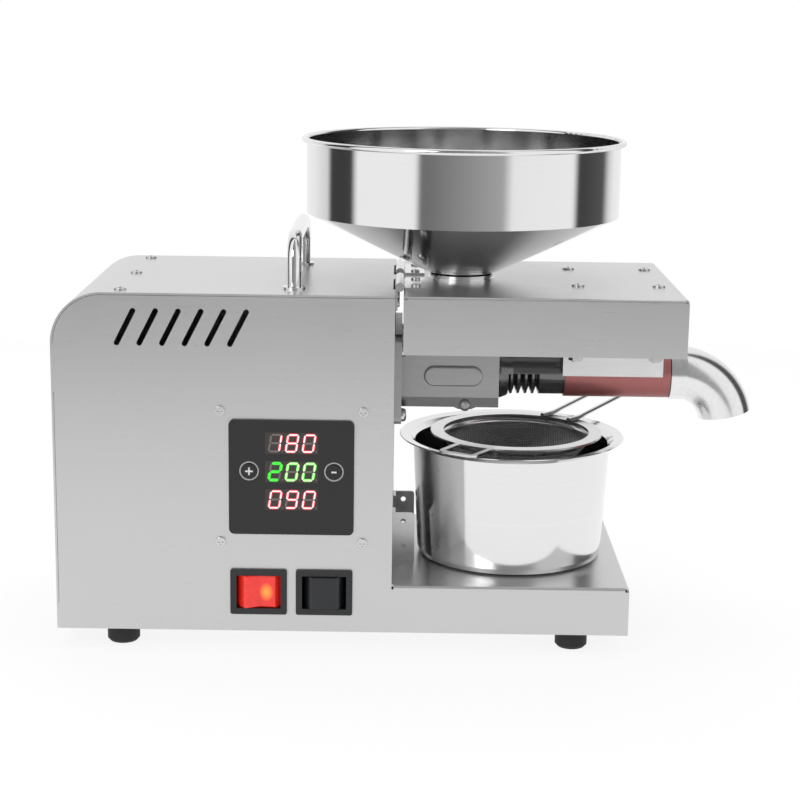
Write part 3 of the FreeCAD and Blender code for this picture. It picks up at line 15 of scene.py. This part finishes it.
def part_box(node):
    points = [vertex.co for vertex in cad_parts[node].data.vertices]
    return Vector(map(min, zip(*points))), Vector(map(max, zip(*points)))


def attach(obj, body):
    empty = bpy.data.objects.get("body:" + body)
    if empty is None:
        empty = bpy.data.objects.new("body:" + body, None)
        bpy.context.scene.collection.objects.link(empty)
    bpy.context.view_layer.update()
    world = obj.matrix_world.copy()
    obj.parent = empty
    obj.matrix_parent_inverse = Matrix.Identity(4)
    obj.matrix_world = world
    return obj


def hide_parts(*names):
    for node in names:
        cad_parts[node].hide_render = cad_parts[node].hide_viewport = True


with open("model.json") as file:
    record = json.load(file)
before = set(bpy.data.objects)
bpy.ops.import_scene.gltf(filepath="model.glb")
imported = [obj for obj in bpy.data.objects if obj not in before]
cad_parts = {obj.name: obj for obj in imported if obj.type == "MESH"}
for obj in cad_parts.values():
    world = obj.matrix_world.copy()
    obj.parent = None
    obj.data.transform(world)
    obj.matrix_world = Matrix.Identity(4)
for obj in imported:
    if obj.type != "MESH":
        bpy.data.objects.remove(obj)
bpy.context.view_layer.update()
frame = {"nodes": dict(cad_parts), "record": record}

nodes = frame["nodes"]
mm = 0.001

# %% [markdown]
# ## Shader sums written as sums
# A node tree is easier to read as arithmetic. `Wire` wraps one socket, and its operators add
# Math nodes, so `1 - mask * 0.4` is written just like that. Any other node comes from
# `Finish.add`, which takes the node's type, its settings and its socket values.

# %% Wires and finishes


class Wire:
    """One output socket that can be used in a sum."""

    def __init__(self, finish, socket):
        self.finish = finish
        self.socket = socket

    def sum(self, operation, first, second=None):
        values = [first] if second is None else [first, second]
        return self.finish.add("Math", values, operation=operation)

    def __add__(self, other):
        return self.sum("ADD", self, other)

    def __sub__(self, other):
        return self.sum("SUBTRACT", self, other)

    def __rsub__(self, other):
        return self.sum("SUBTRACT", other, self)

    def __mul__(self, other):
        return self.sum("MULTIPLY", self, other)

    def __truediv__(self, other):
        return self.sum("DIVIDE", self, other)

    __radd__ = __add__
    __rmul__ = __mul__

    def root(self):
        return self.sum("SQRT", self)


class Finish:
    """One material built round a Principled shader."""

    def __init__(self, name, **constants):
        self.material = bpy.data.materials.new(name)
        self.material.use_nodes = True
        self.tree = self.material.node_tree
        self.shader = self.tree.nodes["Principled BSDF"]
        for label, value in constants.items():
            self.shader.inputs[label.replace("_", " ").title()].default_value = value

    def add(self, kind, values=(), output=0, **settings):
        """Add a node, set it up, feed its sockets and give back one output."""
        node = self.tree.nodes.new("ShaderNode" + kind)
        for label, value in settings.items():
            setattr(node, label, value)
        pairs = values.items() if isinstance(values, dict) else enumerate(values)
        for key, value in pairs:
            self.feed(node.inputs[key], value)
        return Wire(self, node.outputs[output])

    def feed(self, socket, value):
        if isinstance(value, Wire):
            self.tree.links.new(value.socket, socket)
        else:
            socket.default_value = value

    def set(self, label, value):
        self.feed(self.shader.inputs[label], value)

    def place(self):
        """Where a point lies on the press, in metres."""
        return self.add("TexCoord", output="Object")

    def part_of_place(self, axis):
        return self.add("SeparateXYZ", [self.place()], output=axis)

    def stretched(self, scale):
        """The place, with each axis scaled, for grain that runs one way."""
        return self.add("VectorMath", [self.place(), scale], operation="MULTIPLY")

    def noise(self, scale, stretch=(1, 1, 1), detail=3.0):
        vector = self.stretched(stretch)
        return self.add("TexNoise", {"Vector": vector, "Scale": scale, "Detail": detail})

    def mix(self, factor, first, second):
        node = self.tree.nodes.new("ShaderNodeMix")
        node.data_type = "RGBA"
        self.feed(node.inputs["Factor"], factor)
        for key, colour in ((6, first), (7, second)):
            self.feed(node.inputs[key], colour if isinstance(colour, Wire) else (*colour, 1))
        return Wire(self, node.outputs[2])

    def bump(self, height, depth, strength=1.0):
        self.set("Normal", self.add("Bump", {"Height": height, "Distance": depth, "Strength": strength}))


def grey(level):
    return (level, level, level)


print("shader helpers ready")

# %% [markdown]
# ## The camera
# A long lens about a metre away, a little above the press and looking slightly down, keeps the
# casing's edges almost parallel. The camera also leans a little to one side, as a hand-set
# tripod does.

# %% Camera
camera_place = Vector((-6.82, -1045.87, 353.28)) * mm
look_down = math.radians(12.216)
turn_right = math.radians(-0.023)
lean = math.radians(0.802)

camera = bpy.data.objects.new("studio_camera", bpy.data.cameras.new("studio_camera"))
bpy.context.scene.collection.objects.link(camera)
camera.data.sensor_width = 36.0
camera.data.lens = 83.23
forward = Vector((math.sin(turn_right) * math.cos(look_down),
                  math.cos(turn_right) * math.cos(look_down), -math.sin(look_down)))
level_right = Vector((math.cos(turn_right), -math.sin(turn_right), 0))
level_down = forward.cross(level_right)
right = level_right * math.cos(lean) - level_down * math.sin(lean)
down = level_right * math.sin(lean) + level_down * math.cos(lean)
turn = Matrix((right, -down, -forward)).transposed()
camera.matrix_world = Matrix.Translation(camera_place) @ turn.to_4x4()
bpy.context.scene.camera = camera
print("camera at", tuple(round(v, 3) for v in camera_place))

# %% [markdown]
# ## The studio
# A product studio is mostly what the metal reflects: white walls, a grey wall behind the
# camera, and black flags at the sides that draw the dark edges of round parts. Seen straight
# on, everything round the press is plain white. `studio_walls` lists the levels by direction,
# in degrees from the camera's side, with the right-hand side positive.

# %% Studio
scene = bpy.context.scene
scene.view_settings.view_transform = "Standard"

studio_walls = ((-180, 0.95), (-140, 0.95), (-118, 0.75), (-113, 0.05), (-90, 0.05), (-84, 1.0),
                (-36, 1.0), (-32, 0.16), (0, 0.30), (27, 0.42), (34, 0.95), (84, 1.0),
                (90, 0.05), (120, 0.10), (130, 0.75), (140, 0.95), (180, 0.95))
daylight = 0.62

world = bpy.data.worlds.new("studio")
scene.world = world
world.use_nodes = True
tree = world.node_tree
tree.nodes.clear()


def world_node(kind, links=None, **settings):
    node = tree.nodes.new("ShaderNode" + kind)
    for label, value in settings.items():
        setattr(node, label, value)
    for key, source in (links or {}).items():
        if isinstance(source, bpy.types.NodeSocket):
            tree.links.new(source, node.inputs[key])
        else:
            node.inputs[key].default_value = source
    return node


direction = world_node("TexCoord").outputs["Generated"]
axes = world_node("SeparateXYZ", {0: direction}).outputs
towards = world_node("Math", {0: axes["Y"], 1: -1.0}, operation="MULTIPLY").outputs[0]
bearing = world_node("Math", {0: axes["X"], 1: towards}, operation="ARCTAN2").outputs[0]
turns = world_node("Math", {0: bearing, 1: 1 / (2 * math.pi), 2: 0.5}, operation="MULTIPLY_ADD").outputs[0]
walls = world_node("ValToRGB", {0: turns})
stops = walls.color_ramp.elements
while len(stops) < len(studio_walls):
    stops.new(0.5)
for stop, (degrees, level) in zip(stops, studio_walls):
    stop.position = degrees / 360 + 0.5
    stop.color = (level, level, level, 1)
path = world_node("LightPath").outputs
seen_in_metal = world_node("Math", {0: path["Is Glossy Ray"], 1: path["Is Transmission Ray"]},
                           operation="MAXIMUM").outputs[0]
wall_light = world_node("Background", {0: walls.outputs[0]}).outputs[0]
soft_light = world_node("Background", {0: (1, 1, 1, 1), 1: daylight}).outputs[0]
white = world_node("Background", {0: (1, 1, 1, 1), 1: 1.0}).outputs[0]
indirect = world_node("MixShader", {0: seen_in_metal, 1: soft_light, 2: wall_light}).outputs[0]
sky = world_node("MixShader", {0: path["Is Camera Ray"], 1: indirect, 2: white}).outputs[0]
world_node("OutputWorld", {0: sky})


def lamp(name, place, aim, width, depth, watts):
    light = bpy.data.lights.new(name, "AREA")
    light.shape = "RECTANGLE"
    light.size, light.size_y, light.energy = width, depth, watts
    holder = bpy.data.objects.new(name, light)
    scene.collection.objects.link(holder)
    holder.location = place
    holder.rotation_euler = (Vector(aim) - Vector(place)).to_track_quat("-Z", "Y").to_euler()
    return holder


overhead = lamp("overhead_softbox", (0.0, 0.25, 1.5), (0.0, 0.0, 0.1), 1.4, 1.2, 15)
overhead.visible_glossy = False
lamp("front_softbox", (-0.9, -1.5, 1.0), (0.0, 0.0, 0.1), 0.7, 0.7, 7)

# %% [markdown]
# ## Building pieces
# Every added piece is a mesh with a name, a body to ride on and a finish. The helpers here make
# the few kinds that the press needs: a flat outline pushed out from a panel, a raised band
# between two outlines and a wire that follows points.

# %% Mesh helpers


def new_piece(name, body, finish, shapes, smooth=False):
    """Join (vertices, faces) shapes into one piece that rides on a body."""
    vertices, faces = [], []
    for points, polygons in shapes:
        first = len(vertices)
        vertices += points
        faces += [[first + corner for corner in polygon] for polygon in polygons]
    mesh = bpy.data.meshes.new(name)
    mesh.from_pydata([tuple(v) for v in vertices], [], faces)
    form = bmesh.new()
    form.from_mesh(mesh)
    bmesh.ops.recalc_face_normals(form, faces=form.faces)
    form.to_mesh(mesh)
    form.free()
    for polygon in mesh.polygons:
        polygon.use_smooth = smooth
    mesh.materials.append(finish.material)
    piece = bpy.data.objects.new(name, mesh)
    scene.collection.objects.link(piece)
    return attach(piece, body)


def raised(outline, y, height):
    """A flat outline of (x, z) points pushed out from the front by a height."""
    count = len(outline)
    points = [Vector((x, y, z)) for x, z in outline] + [Vector((x, y - height, z)) for x, z in outline]
    sides = [(n, (n + 1) % count, count + (n + 1) % count, count + n) for n in range(count)]
    return points, [tuple(range(count)), tuple(range(count, 2 * count))] + sides


def loop_strip(outer, inner, y, height):
    """A raised band between two outlines that have the same number of points."""
    count = len(outer)
    points = []
    for depth in (y, y - height):
        points += [Vector((x, depth, z)) for x, z in outer] + [Vector((x, depth, z)) for x, z in inner]
    faces = []
    for n in range(count):
        m = (n + 1) % count
        faces += [(n, m, count + m, count + n),
                  (2 * count + n, 3 * count + n, 3 * count + m, 2 * count + m),
                  (n, 2 * count + n, 2 * count + m, m),
                  (count + n, count + m, 3 * count + m, 3 * count + n)]
    return points, faces


def circle(x, z, radius, steps=48):
    angles = [2 * math.pi * n / steps for n in range(steps)]
    return [(x + radius * math.cos(a), z + radius * math.sin(a)) for a in angles]


def rectangle(x0, x1, z0, z1):
    return [(x0, z0), (x1, z0), (x1, z1), (x0, z1)]


def wire(points, radius, sides):
    """A round wire along a list of points, closed at both ends."""
    ring_places = []
    last = len(points) - 1
    for n, point in enumerate(points):
        along = (points[min(n + 1, last)] - points[max(n - 1, 0)]).normalized()
        upright = abs(along.z) > 0.95
        side = (along.orthogonal() if upright else along.cross(Vector((0, 0, 1)))).normalized()
        other = along.cross(side)
        for k in range(sides):
            a = 2 * math.pi * k / sides
            ring_places.append(point + (side * math.cos(a) + other * math.sin(a)) * radius)
    faces = [tuple(range(sides)), tuple(last * sides + k for k in range(sides))]
    for n in range(last):
        a, b = n * sides, (n + 1) * sides
        faces += [(a + k, a + (k + 1) % sides, b + (k + 1) % sides, b + k) for k in range(sides)]
    return ring_places, faces


def centre_of(node):
    low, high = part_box(node)
    return (low + high) / 2


print("mesh helpers ready")

# %% [markdown]
# ## Steel finishes
# The casing is satin sheet, brushed along its length. The hopper and the pot are spun, so their
# fine lines run round them. Grain changes roughness a little and colour hardly at all. The rose
# heater sleeve carries painted shade: its colour is dark at the bottom and light at the top.

# %% Steel


def satin_sheet():
    steel = Finish("satin_sheet", metallic=0.85)
    grain = steel.noise(700, stretch=(0.05, 1, 1))
    cloud = steel.noise(9, detail=2.0)
    steel.set("Base Color", steel.mix(cloud * 0.5 + grain * 0.3, grey(0.60), grey(0.68)))
    steel.set("Roughness", grain * 0.12 + cloud * 0.04 + 0.22)
    steel.bump(grain, 0.00002, 0.25)
    return steel


def spun_steel(name, centre, tone, gloss):
    """Polished sheet with fine lines round an upright axis at centre."""
    steel = Finish(name, metallic=1.0)
    x = steel.part_of_place("X") - centre.x
    y = steel.part_of_place("Y") - centre.y
    radius = (x * x + y * y).root()
    track = steel.add("CombineXYZ", [radius, 0.0, steel.part_of_place("Z")])
    lines = steel.add("TexNoise", {"Vector": track, "Scale": 2600.0, "Detail": 2.0})
    haze = steel.noise(16, detail=2.0)
    steel.set("Base Color", steel.mix(lines * 0.6 + haze * 0.2, grey(tone - 0.05), grey(tone + 0.05)))
    steel.set("Roughness", lines * 0.06 + haze * 0.04 + gloss)
    steel.bump(lines, 0.00001, 0.15)
    return steel


def plain_metal(name, tone, gloss, grain_scale=900, stretch=(1, 1, 1), metallic=1.0, spread=0.08):
    metal = Finish(name, metallic=metallic)
    grain = metal.noise(grain_scale, stretch=stretch)
    metal.set("Base Color", metal.mix(grain, grey(tone * (1 - spread)), grey(tone * (1 + spread))))
    metal.set("Roughness", grain * 0.10 + gloss)
    metal.bump(grain, 0.00002, 0.2)
    return metal


def cast_metal(name, tone, metallic, gloss):
    metal = Finish(name, metallic=metallic)
    lumps = metal.noise(420, detail=5.0)
    metal.set("Base Color", metal.mix(lumps, grey(tone * 0.85), grey(tone * 1.15)))
    metal.set("Roughness", lumps * 0.15 + gloss)
    metal.bump(lumps, 0.00015, 0.4)
    return metal


def rose_sleeve():
    sleeve = Finish("rose_sleeve", metallic=0.55)
    grain = sleeve.noise(800, stretch=(0.1, 1, 1))
    axis = centre_of("heater_sleeve").z
    painted_shade_height = 30 * mm
    # Painted shade and highlight: the rose is mixed from dark at the sleeve's bottom to light at its top,
    # standing in for the shade beneath it and the light on its top.
    painted_shade_rise = (sleeve.part_of_place("Z") - axis) / painted_shade_height + 0.5
    tone = sleeve.mix(painted_shade_rise + grain * 0.1 - 0.05, (0.27, 0.075, 0.075), (0.66, 0.27, 0.26))
    sleeve.set("Base Color", tone)
    sleeve.set("Roughness", grain * 0.1 + 0.34)
    sleeve.bump(grain, 0.00002, 0.2)
    return sleeve


print("steel finishes ready")

# %% [markdown]
# ## Plastics, rubber and the display
# The display is a gloss black sheet with smoked windows. The red rocker is clear red plastic
# with a lamp behind it, so it glows amber at the lamp.

# %% Plastics


def shade(colour, level):
    return tuple(part * level for part in colour)


def moulded(name, colour, gloss, scale=900, depth=0.00005, coat=0.0):
    plastic = Finish(name, coat_weight=coat, coat_roughness=0.08)
    grain = plastic.noise(scale, detail=4.0)
    plastic.set("Base Color", plastic.mix(grain, shade(colour, 0.85), shade(colour, 1.15)))
    plastic.set("Roughness", grain * 0.12 + gloss)
    plastic.bump(grain, depth, 0.3)
    return plastic


def lit_red():
    rocker = Finish("lit_red", coat_weight=0.4, coat_roughness=0.1, emission_strength=0.9)
    low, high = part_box("power_rocker")
    lamp_x = low.x + 0.68 * (high.x - low.x)
    lamp_z = low.z + 0.48 * (high.z - low.z)
    lamp_half_width = 2.2 * mm
    lamp_half_height = 3.0 * mm
    fall_off = 0.55
    x = (rocker.part_of_place("X") - lamp_x) / lamp_half_width
    z = (rocker.part_of_place("Z") - lamp_z) / lamp_half_height
    near = 1 - (x * x + z * z).root() * fall_off
    glow = rocker.add("MapRange", [near, 0.0, 1.0], clamp=True)
    mottle = rocker.noise(260, detail=2.0)
    rocker.set("Base Color", rocker.mix(mottle, (0.70, 0.020, 0.015), (0.82, 0.035, 0.022)))
    dim = rocker.mix(mottle, (0.20, 0.004, 0.003), (0.34, 0.008, 0.005))
    rocker.set("Emission Color", rocker.mix(glow, dim, (1.0, 0.48, 0.04)))
    rocker.set("Roughness", mottle * 0.08 + 0.22)
    return rocker


def glowing(name, colour, strength=1.0):
    """A lit segment: its colour is its own light."""
    light = Finish(name, emission_strength=strength, roughness=0.4)
    flicker = light.noise(300, detail=1.0)
    light.set("Base Color", light.mix(flicker, shade(colour, 0.3), shade(colour, 0.4)))
    light.set("Emission Color", light.mix(flicker, shade(colour, 0.95), colour))
    return light


finishes = {
    "body_steel": satin_sheet(),
    "polished_steel": spun_steel("spun_hopper", centre_of("hopper"), 0.82, 0.05),
    "chrome_bar": plain_metal("chrome_bar", 0.84, 0.05, 300),
    "screw_steel": plain_metal("zinc_screws", 0.66, 0.18),
    "hinge_steel": plain_metal("hinge_leaf", 0.74, 0.14),
    "head_steel": plain_metal("machined_head", 0.46, 0.34, 700, (0.1, 1, 1), metallic=0.75),
    "dark_steel": plain_metal("oiled_barrel", 0.17, 0.14, 500, (0.2, 1, 1), metallic=0.8, spread=0.2),
    "screw_tool_steel": plain_metal("tool_steel", 0.30, 0.25),
    "heater_rose": rose_sleeve(),
    "shield_bright": plain_metal("bright_plate", 0.95, 0.30, 700, (0.1, 1, 1), metallic=0.5),
    "sieve_steel": plain_metal("sieve_band", 0.70, 0.16, 500),
    "sieve_weave": plain_metal("woven_wire", 0.42, 0.28, 700),
    "gearbox_metal": cast_metal("gearbox_cast", 0.5, 0.8, 0.35),
    "motor_black": cast_metal("motor_paint", 0.03, 0.0, 0.4),
    "display_black": moulded("display_gloss", (0.008, 0.007, 0.007), 0.10, depth=0.000005),
    "window_dark": moulded("smoked_window", (0.040, 0.028, 0.026), 0.12, depth=0.000005),
    "button_rubber": moulded("moulded_key", (0.012, 0.011, 0.011), 0.30, scale=1400),
    "switch_black": moulded("switch_black", (0.010, 0.011, 0.013), 0.28, coat=0.1),
    "rocker_red": lit_red(),
    "board_green": moulded("circuit_board", (0.02, 0.16, 0.07), 0.4),
    "foot_rubber": moulded("foot_rubber", (0.012, 0.012, 0.012), 0.6, scale=1500, depth=0.0002),
}
pot_finish = spun_steel("spun_pot", centre_of("oil_pot"), 0.82, 0.07)
spout_finish = plain_metal("spout_polish", 0.82, 0.14, 500)

for part in frame["record"]["subparts"]:
    mesh = nodes[part["node"]].data
    mesh.materials.clear()
    mesh.materials.append(finishes[part["material_slot"]].material)
for node, finish in (("oil_pot", pot_finish), ("cake_spout", spout_finish)):
    nodes[node].data.materials[0] = finish.material
print("finishes:", ", ".join(sorted(f.material.name for f in finishes.values())))

# %% [markdown]
# ## Lit digits and printed marks
# Each digit is made of seven leaning bars. A lit bar is a pale core on a slightly wider coloured
# bar, and the unlit ones show grey through the window.

# %% Display
digit_height = 9.3 * mm
digit_width = 5.6 * mm
digit_pitch = 9.16 * mm
digit_lean = math.tan(math.radians(9))
digit_inset = 1.9 * mm
bar_width = 1.35 * mm
edge_share, core_share, unlit_share = 1.25, 0.62, 0.8
edge_height, core_height, unlit_height = 0.06 * mm, 0.10 * mm, 0.03 * mm
point_size, point_gap, point_drop = 0.7 * mm, 1.5 * mm, 0.2 * mm
window_height = 12.0 * mm
middle_row_rise = 15.6 * mm
segment_ends = {"a": ((0, 1), (1, 1)), "b": ((1, 1), (1, 0.5)), "c": ((1, 0.5), (1, 0)),
                "d": ((0, 0), (1, 0)), "e": ((0, 0.5), (0, 0)), "f": ((0, 1), (0, 0.5)),
                "g": ((0, 0.5), (1, 0.5))}
lit_segments = {"0": "abcdef", "1": "bc", "2": "abged", "8": "abcdefg", "9": "abcdfg"}
unlit = moulded("unlit_bar", (0.17, 0.15, 0.14), 0.4)
red_edge = glowing("red_edge", (0.80, 0.012, 0.045))
red_core = glowing("red_core", (1.0, 0.80, 0.80))
green_edge = glowing("green_edge", (0.055, 0.70, 0.045))
green_core = glowing("green_core", (0.72, 1.0, 0.50))
green_deep = glowing("green_deep", (0.06, 0.90, 0.05))


def bar(x, z, ends, width):
    """One leaning bar of a digit whose lower left corner is at (x, z)."""
    (u0, v0), (u1, v1) = ends
    a = Vector((u0 * digit_width, v0 * digit_height))
    b = Vector((u1 * digit_width, v1 * digit_height))
    along = (b - a).normalized()
    across = Vector((-along.y, along.x))
    half, trim = width / 2, bar_width * 0.12
    a, b = a + along * trim, b - along * trim
    tip = along * half
    corners = [a, a + tip + across * half, b - tip + across * half, b, b - tip - across * half,
               a + tip - across * half]
    return [(x + c.x + c.y * digit_lean, z + c.y) for c in corners]


window_low, window_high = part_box("display_windows")
window_face = window_low.y
rows = (("180", window_high.z - window_height, red_edge, red_core),
        ("200", window_low.z + middle_row_rise, green_edge, green_core),
        ("090", window_low.z, red_edge, red_core))
layers = {}


def lay(finish, outline, height):
    """Add an outline to the bars that share a finish."""
    layers.setdefault(finish, []).append(raised(outline, window_face, height))


for digits, bottom, edge, core in rows:
    z = bottom + (window_height - digit_height) / 2
    for place, digit in enumerate(digits):
        x = window_low.x + digit_inset + place * digit_pitch
        middle = green_deep if (edge is green_edge and place == 0) else core
        for name, ends in segment_ends.items():
            if name in lit_segments[digit]:
                lay(edge, bar(x, z, ends, bar_width * edge_share), edge_height)
                lay(middle, bar(x, z, ends, bar_width * core_share), core_height)
            else:
                lay(unlit, bar(x, z, ends, bar_width * unlit_share), unlit_height)
        point_x, point_z = x + digit_width + point_gap, z - point_drop
        point = rectangle(point_x, point_x + point_size, point_z, point_z + point_size)
        lay(unlit, point, unlit_height)
for finish, shapes in layers.items():
    new_piece(finish.material.name + "_bars", "root", finish, shapes)

print_white = moulded("print_white", (0.72, 0.72, 0.72), 0.5)
print_grey = moulded("print_grey", (0.42, 0.42, 0.42), 0.5)
print_height = 0.05 * mm
ring_outer, ring_inner = 5.3 * mm, 4.55 * mm
mark_half = 0.45 * mm
mark_reach = {"plus_button": 2.1 * mm, "minus_button": 1.4 * mm}
panel_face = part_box("display_panel")[0].y
ring_shapes = []
for key, reach in mark_reach.items():
    middle = centre_of(key)
    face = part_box(key)[0].y
    ring_shapes.append(loop_strip(circle(middle.x, middle.z, ring_outer),
                                  circle(middle.x, middle.z, ring_inner), panel_face, print_height))
    strokes = [rectangle(middle.x - reach, middle.x + reach, middle.z - mark_half, middle.z + mark_half)]
    if key == "plus_button":
        left, right = middle.x - mark_half, middle.x + mark_half
        strokes += [rectangle(left, right, middle.z - reach, middle.z - mark_half),
                    rectangle(left, right, middle.z + mark_half, middle.z + reach)]
    marks = [raised(stroke, face, print_height) for stroke in strokes]
    new_piece(key + "_mark", key, print_white, marks)
new_piece("printed_rings", "root", print_grey, ring_shapes)
print("display: three rows of digits, two ringed keys")

# %% [markdown]
# ## Woven bowl of the sieve
# The bowl is woven from two sets of fine wires that cross and pass over and under each other.
# Each wire here follows the bowl's round shape along one line of the weave, so the bowl is see
# through, as wire cloth is. A plain turned band joins it to the ring.

# %% Woven bowl
bowl_low, bowl_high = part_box("sieve_mesh")
bowl_centre = (bowl_low + bowl_high) / 2
bowl_depth = bowl_high.z - bowl_low.z
bowl_mouth = (bowl_high.x - bowl_low.x) / 2
bowl_radius = (bowl_mouth ** 2 + bowl_depth ** 2) / (2 * bowl_depth)
weave_pitch = 1.3 * mm
weave_wire = 0.22 * mm
band_width = 3.0 * mm
weave_reach = bowl_mouth - band_width
weave_lift = 0.8 * weave_wire


def bowl_point(x, y, lift):
    """The place on the bowl under (x, y), measured from its middle, raised by lift."""
    drop = math.sqrt(bowl_radius ** 2 - x * x - y * y) - lift
    return Vector((bowl_centre.x + x, bowl_centre.y + y,
                   bowl_low.z + bowl_radius - drop + weave_wire))


def woven_wires(turned):
    shapes = []
    count = int(weave_reach / weave_pitch)
    for line in range(-count, count + 1):
        across = line * weave_pitch
        half = math.sqrt(weave_reach ** 2 - across ** 2)
        steps = max(2, int(half / weave_pitch))
        points = []
        for n in range(steps + 1):
            along = -half + 2 * half * n / steps
            x, y = (across, along) if turned else (along, across)
            lift = weave_lift if (n + line) % 2 == turned else -weave_lift
            points.append(bowl_point(x, y, lift))
        shapes.append(wire(points, weave_wire, sides=4))
    return shapes


woven = new_piece("woven_bowl", "sieve", finishes["sieve_weave"],
                  woven_wires(False) + woven_wires(True), smooth=True)
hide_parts("sieve_mesh")


def turned_band(profile, steps=96):
    """Turn (radius, z) points about the bowl's upright axis into a closed band."""
    count = len(profile)
    points = [Vector((bowl_centre.x + r * math.cos(2 * math.pi * n / steps),
                      bowl_centre.y + r * math.sin(2 * math.pi * n / steps), z))
              for n in range(steps) for r, z in profile]
    faces = [(n * count + k, n * count + (k + 1) % count,
              ((n + 1) % steps) * count + (k + 1) % count, ((n + 1) % steps) * count + k)
             for n in range(steps) for k in range(count)]
    return points, faces


band_foot = bowl_point(weave_reach, 0, 0).z
band_top = bowl_high.z - 0.1 * mm
band_rim = bowl_mouth - 0.3 * mm
band_thickness = 0.6 * mm
band_profile = [(band_rim, band_top), (weave_reach, band_foot),
                (weave_reach - 0.5 * mm, band_foot + 0.4 * mm),
                (band_rim - band_thickness, band_top)]
band = new_piece("bowl_band", "sieve", finishes["sieve_steel"],
                 [turned_band(band_profile)], smooth=True)
print("woven bowl:", len(woven.data.polygons), "faces")

# %% [markdown]
# ## Floor
# The floor is part of the stage. It gives the press something to stand on and keeps its shadow.

# %% Floor
floor_radius = 0.95
floor_glow = 0.86


def studio_floor():
    floor = bpy.data.materials.new("studio_floor")
    floor.use_nodes = True
    nodes_of = floor.node_tree.nodes
    link = floor.node_tree.links.new
    nodes_of.clear()
    matt = nodes_of.new("ShaderNodeBsdfDiffuse")
    matt.inputs[0].default_value = (0.9, 0.9, 0.9, 1)
    white_light = nodes_of.new("ShaderNodeEmission")
    light_path = nodes_of.new("ShaderNodeLightPath")
    bright = nodes_of.new("ShaderNodeMath")
    bright.operation = "MAXIMUM"
    link(light_path.outputs["Is Camera Ray"], bright.inputs[0])
    link(light_path.outputs["Is Glossy Ray"], bright.inputs[1])
    share = nodes_of.new("ShaderNodeMath")
    share.operation = "MULTIPLY"
    share.inputs[1].default_value = floor_glow
    link(bright.outputs[0], share.inputs[0])
    both = nodes_of.new("ShaderNodeMixShader")
    link(share.outputs[0], both.inputs[0])
    link(matt.outputs[0], both.inputs[1])
    link(white_light.outputs[0], both.inputs[2])
    out = nodes_of.new("ShaderNodeOutputMaterial")
    link(both.outputs[0], out.inputs[0])
    return floor


floor_mesh = bpy.data.meshes.new("studio_floor")
rim = [(floor_radius * math.cos(math.radians(a)), floor_radius * math.sin(math.radians(a)), 0.0)
       for a in range(0, 360, 5)]
floor_mesh.from_pydata(rim, [], [tuple(range(len(rim)))])
floor_mesh.materials.append(studio_floor())
floor = bpy.data.objects.new("studio_floor", floor_mesh)
scene.collection.objects.link(floor)
print("floor laid")
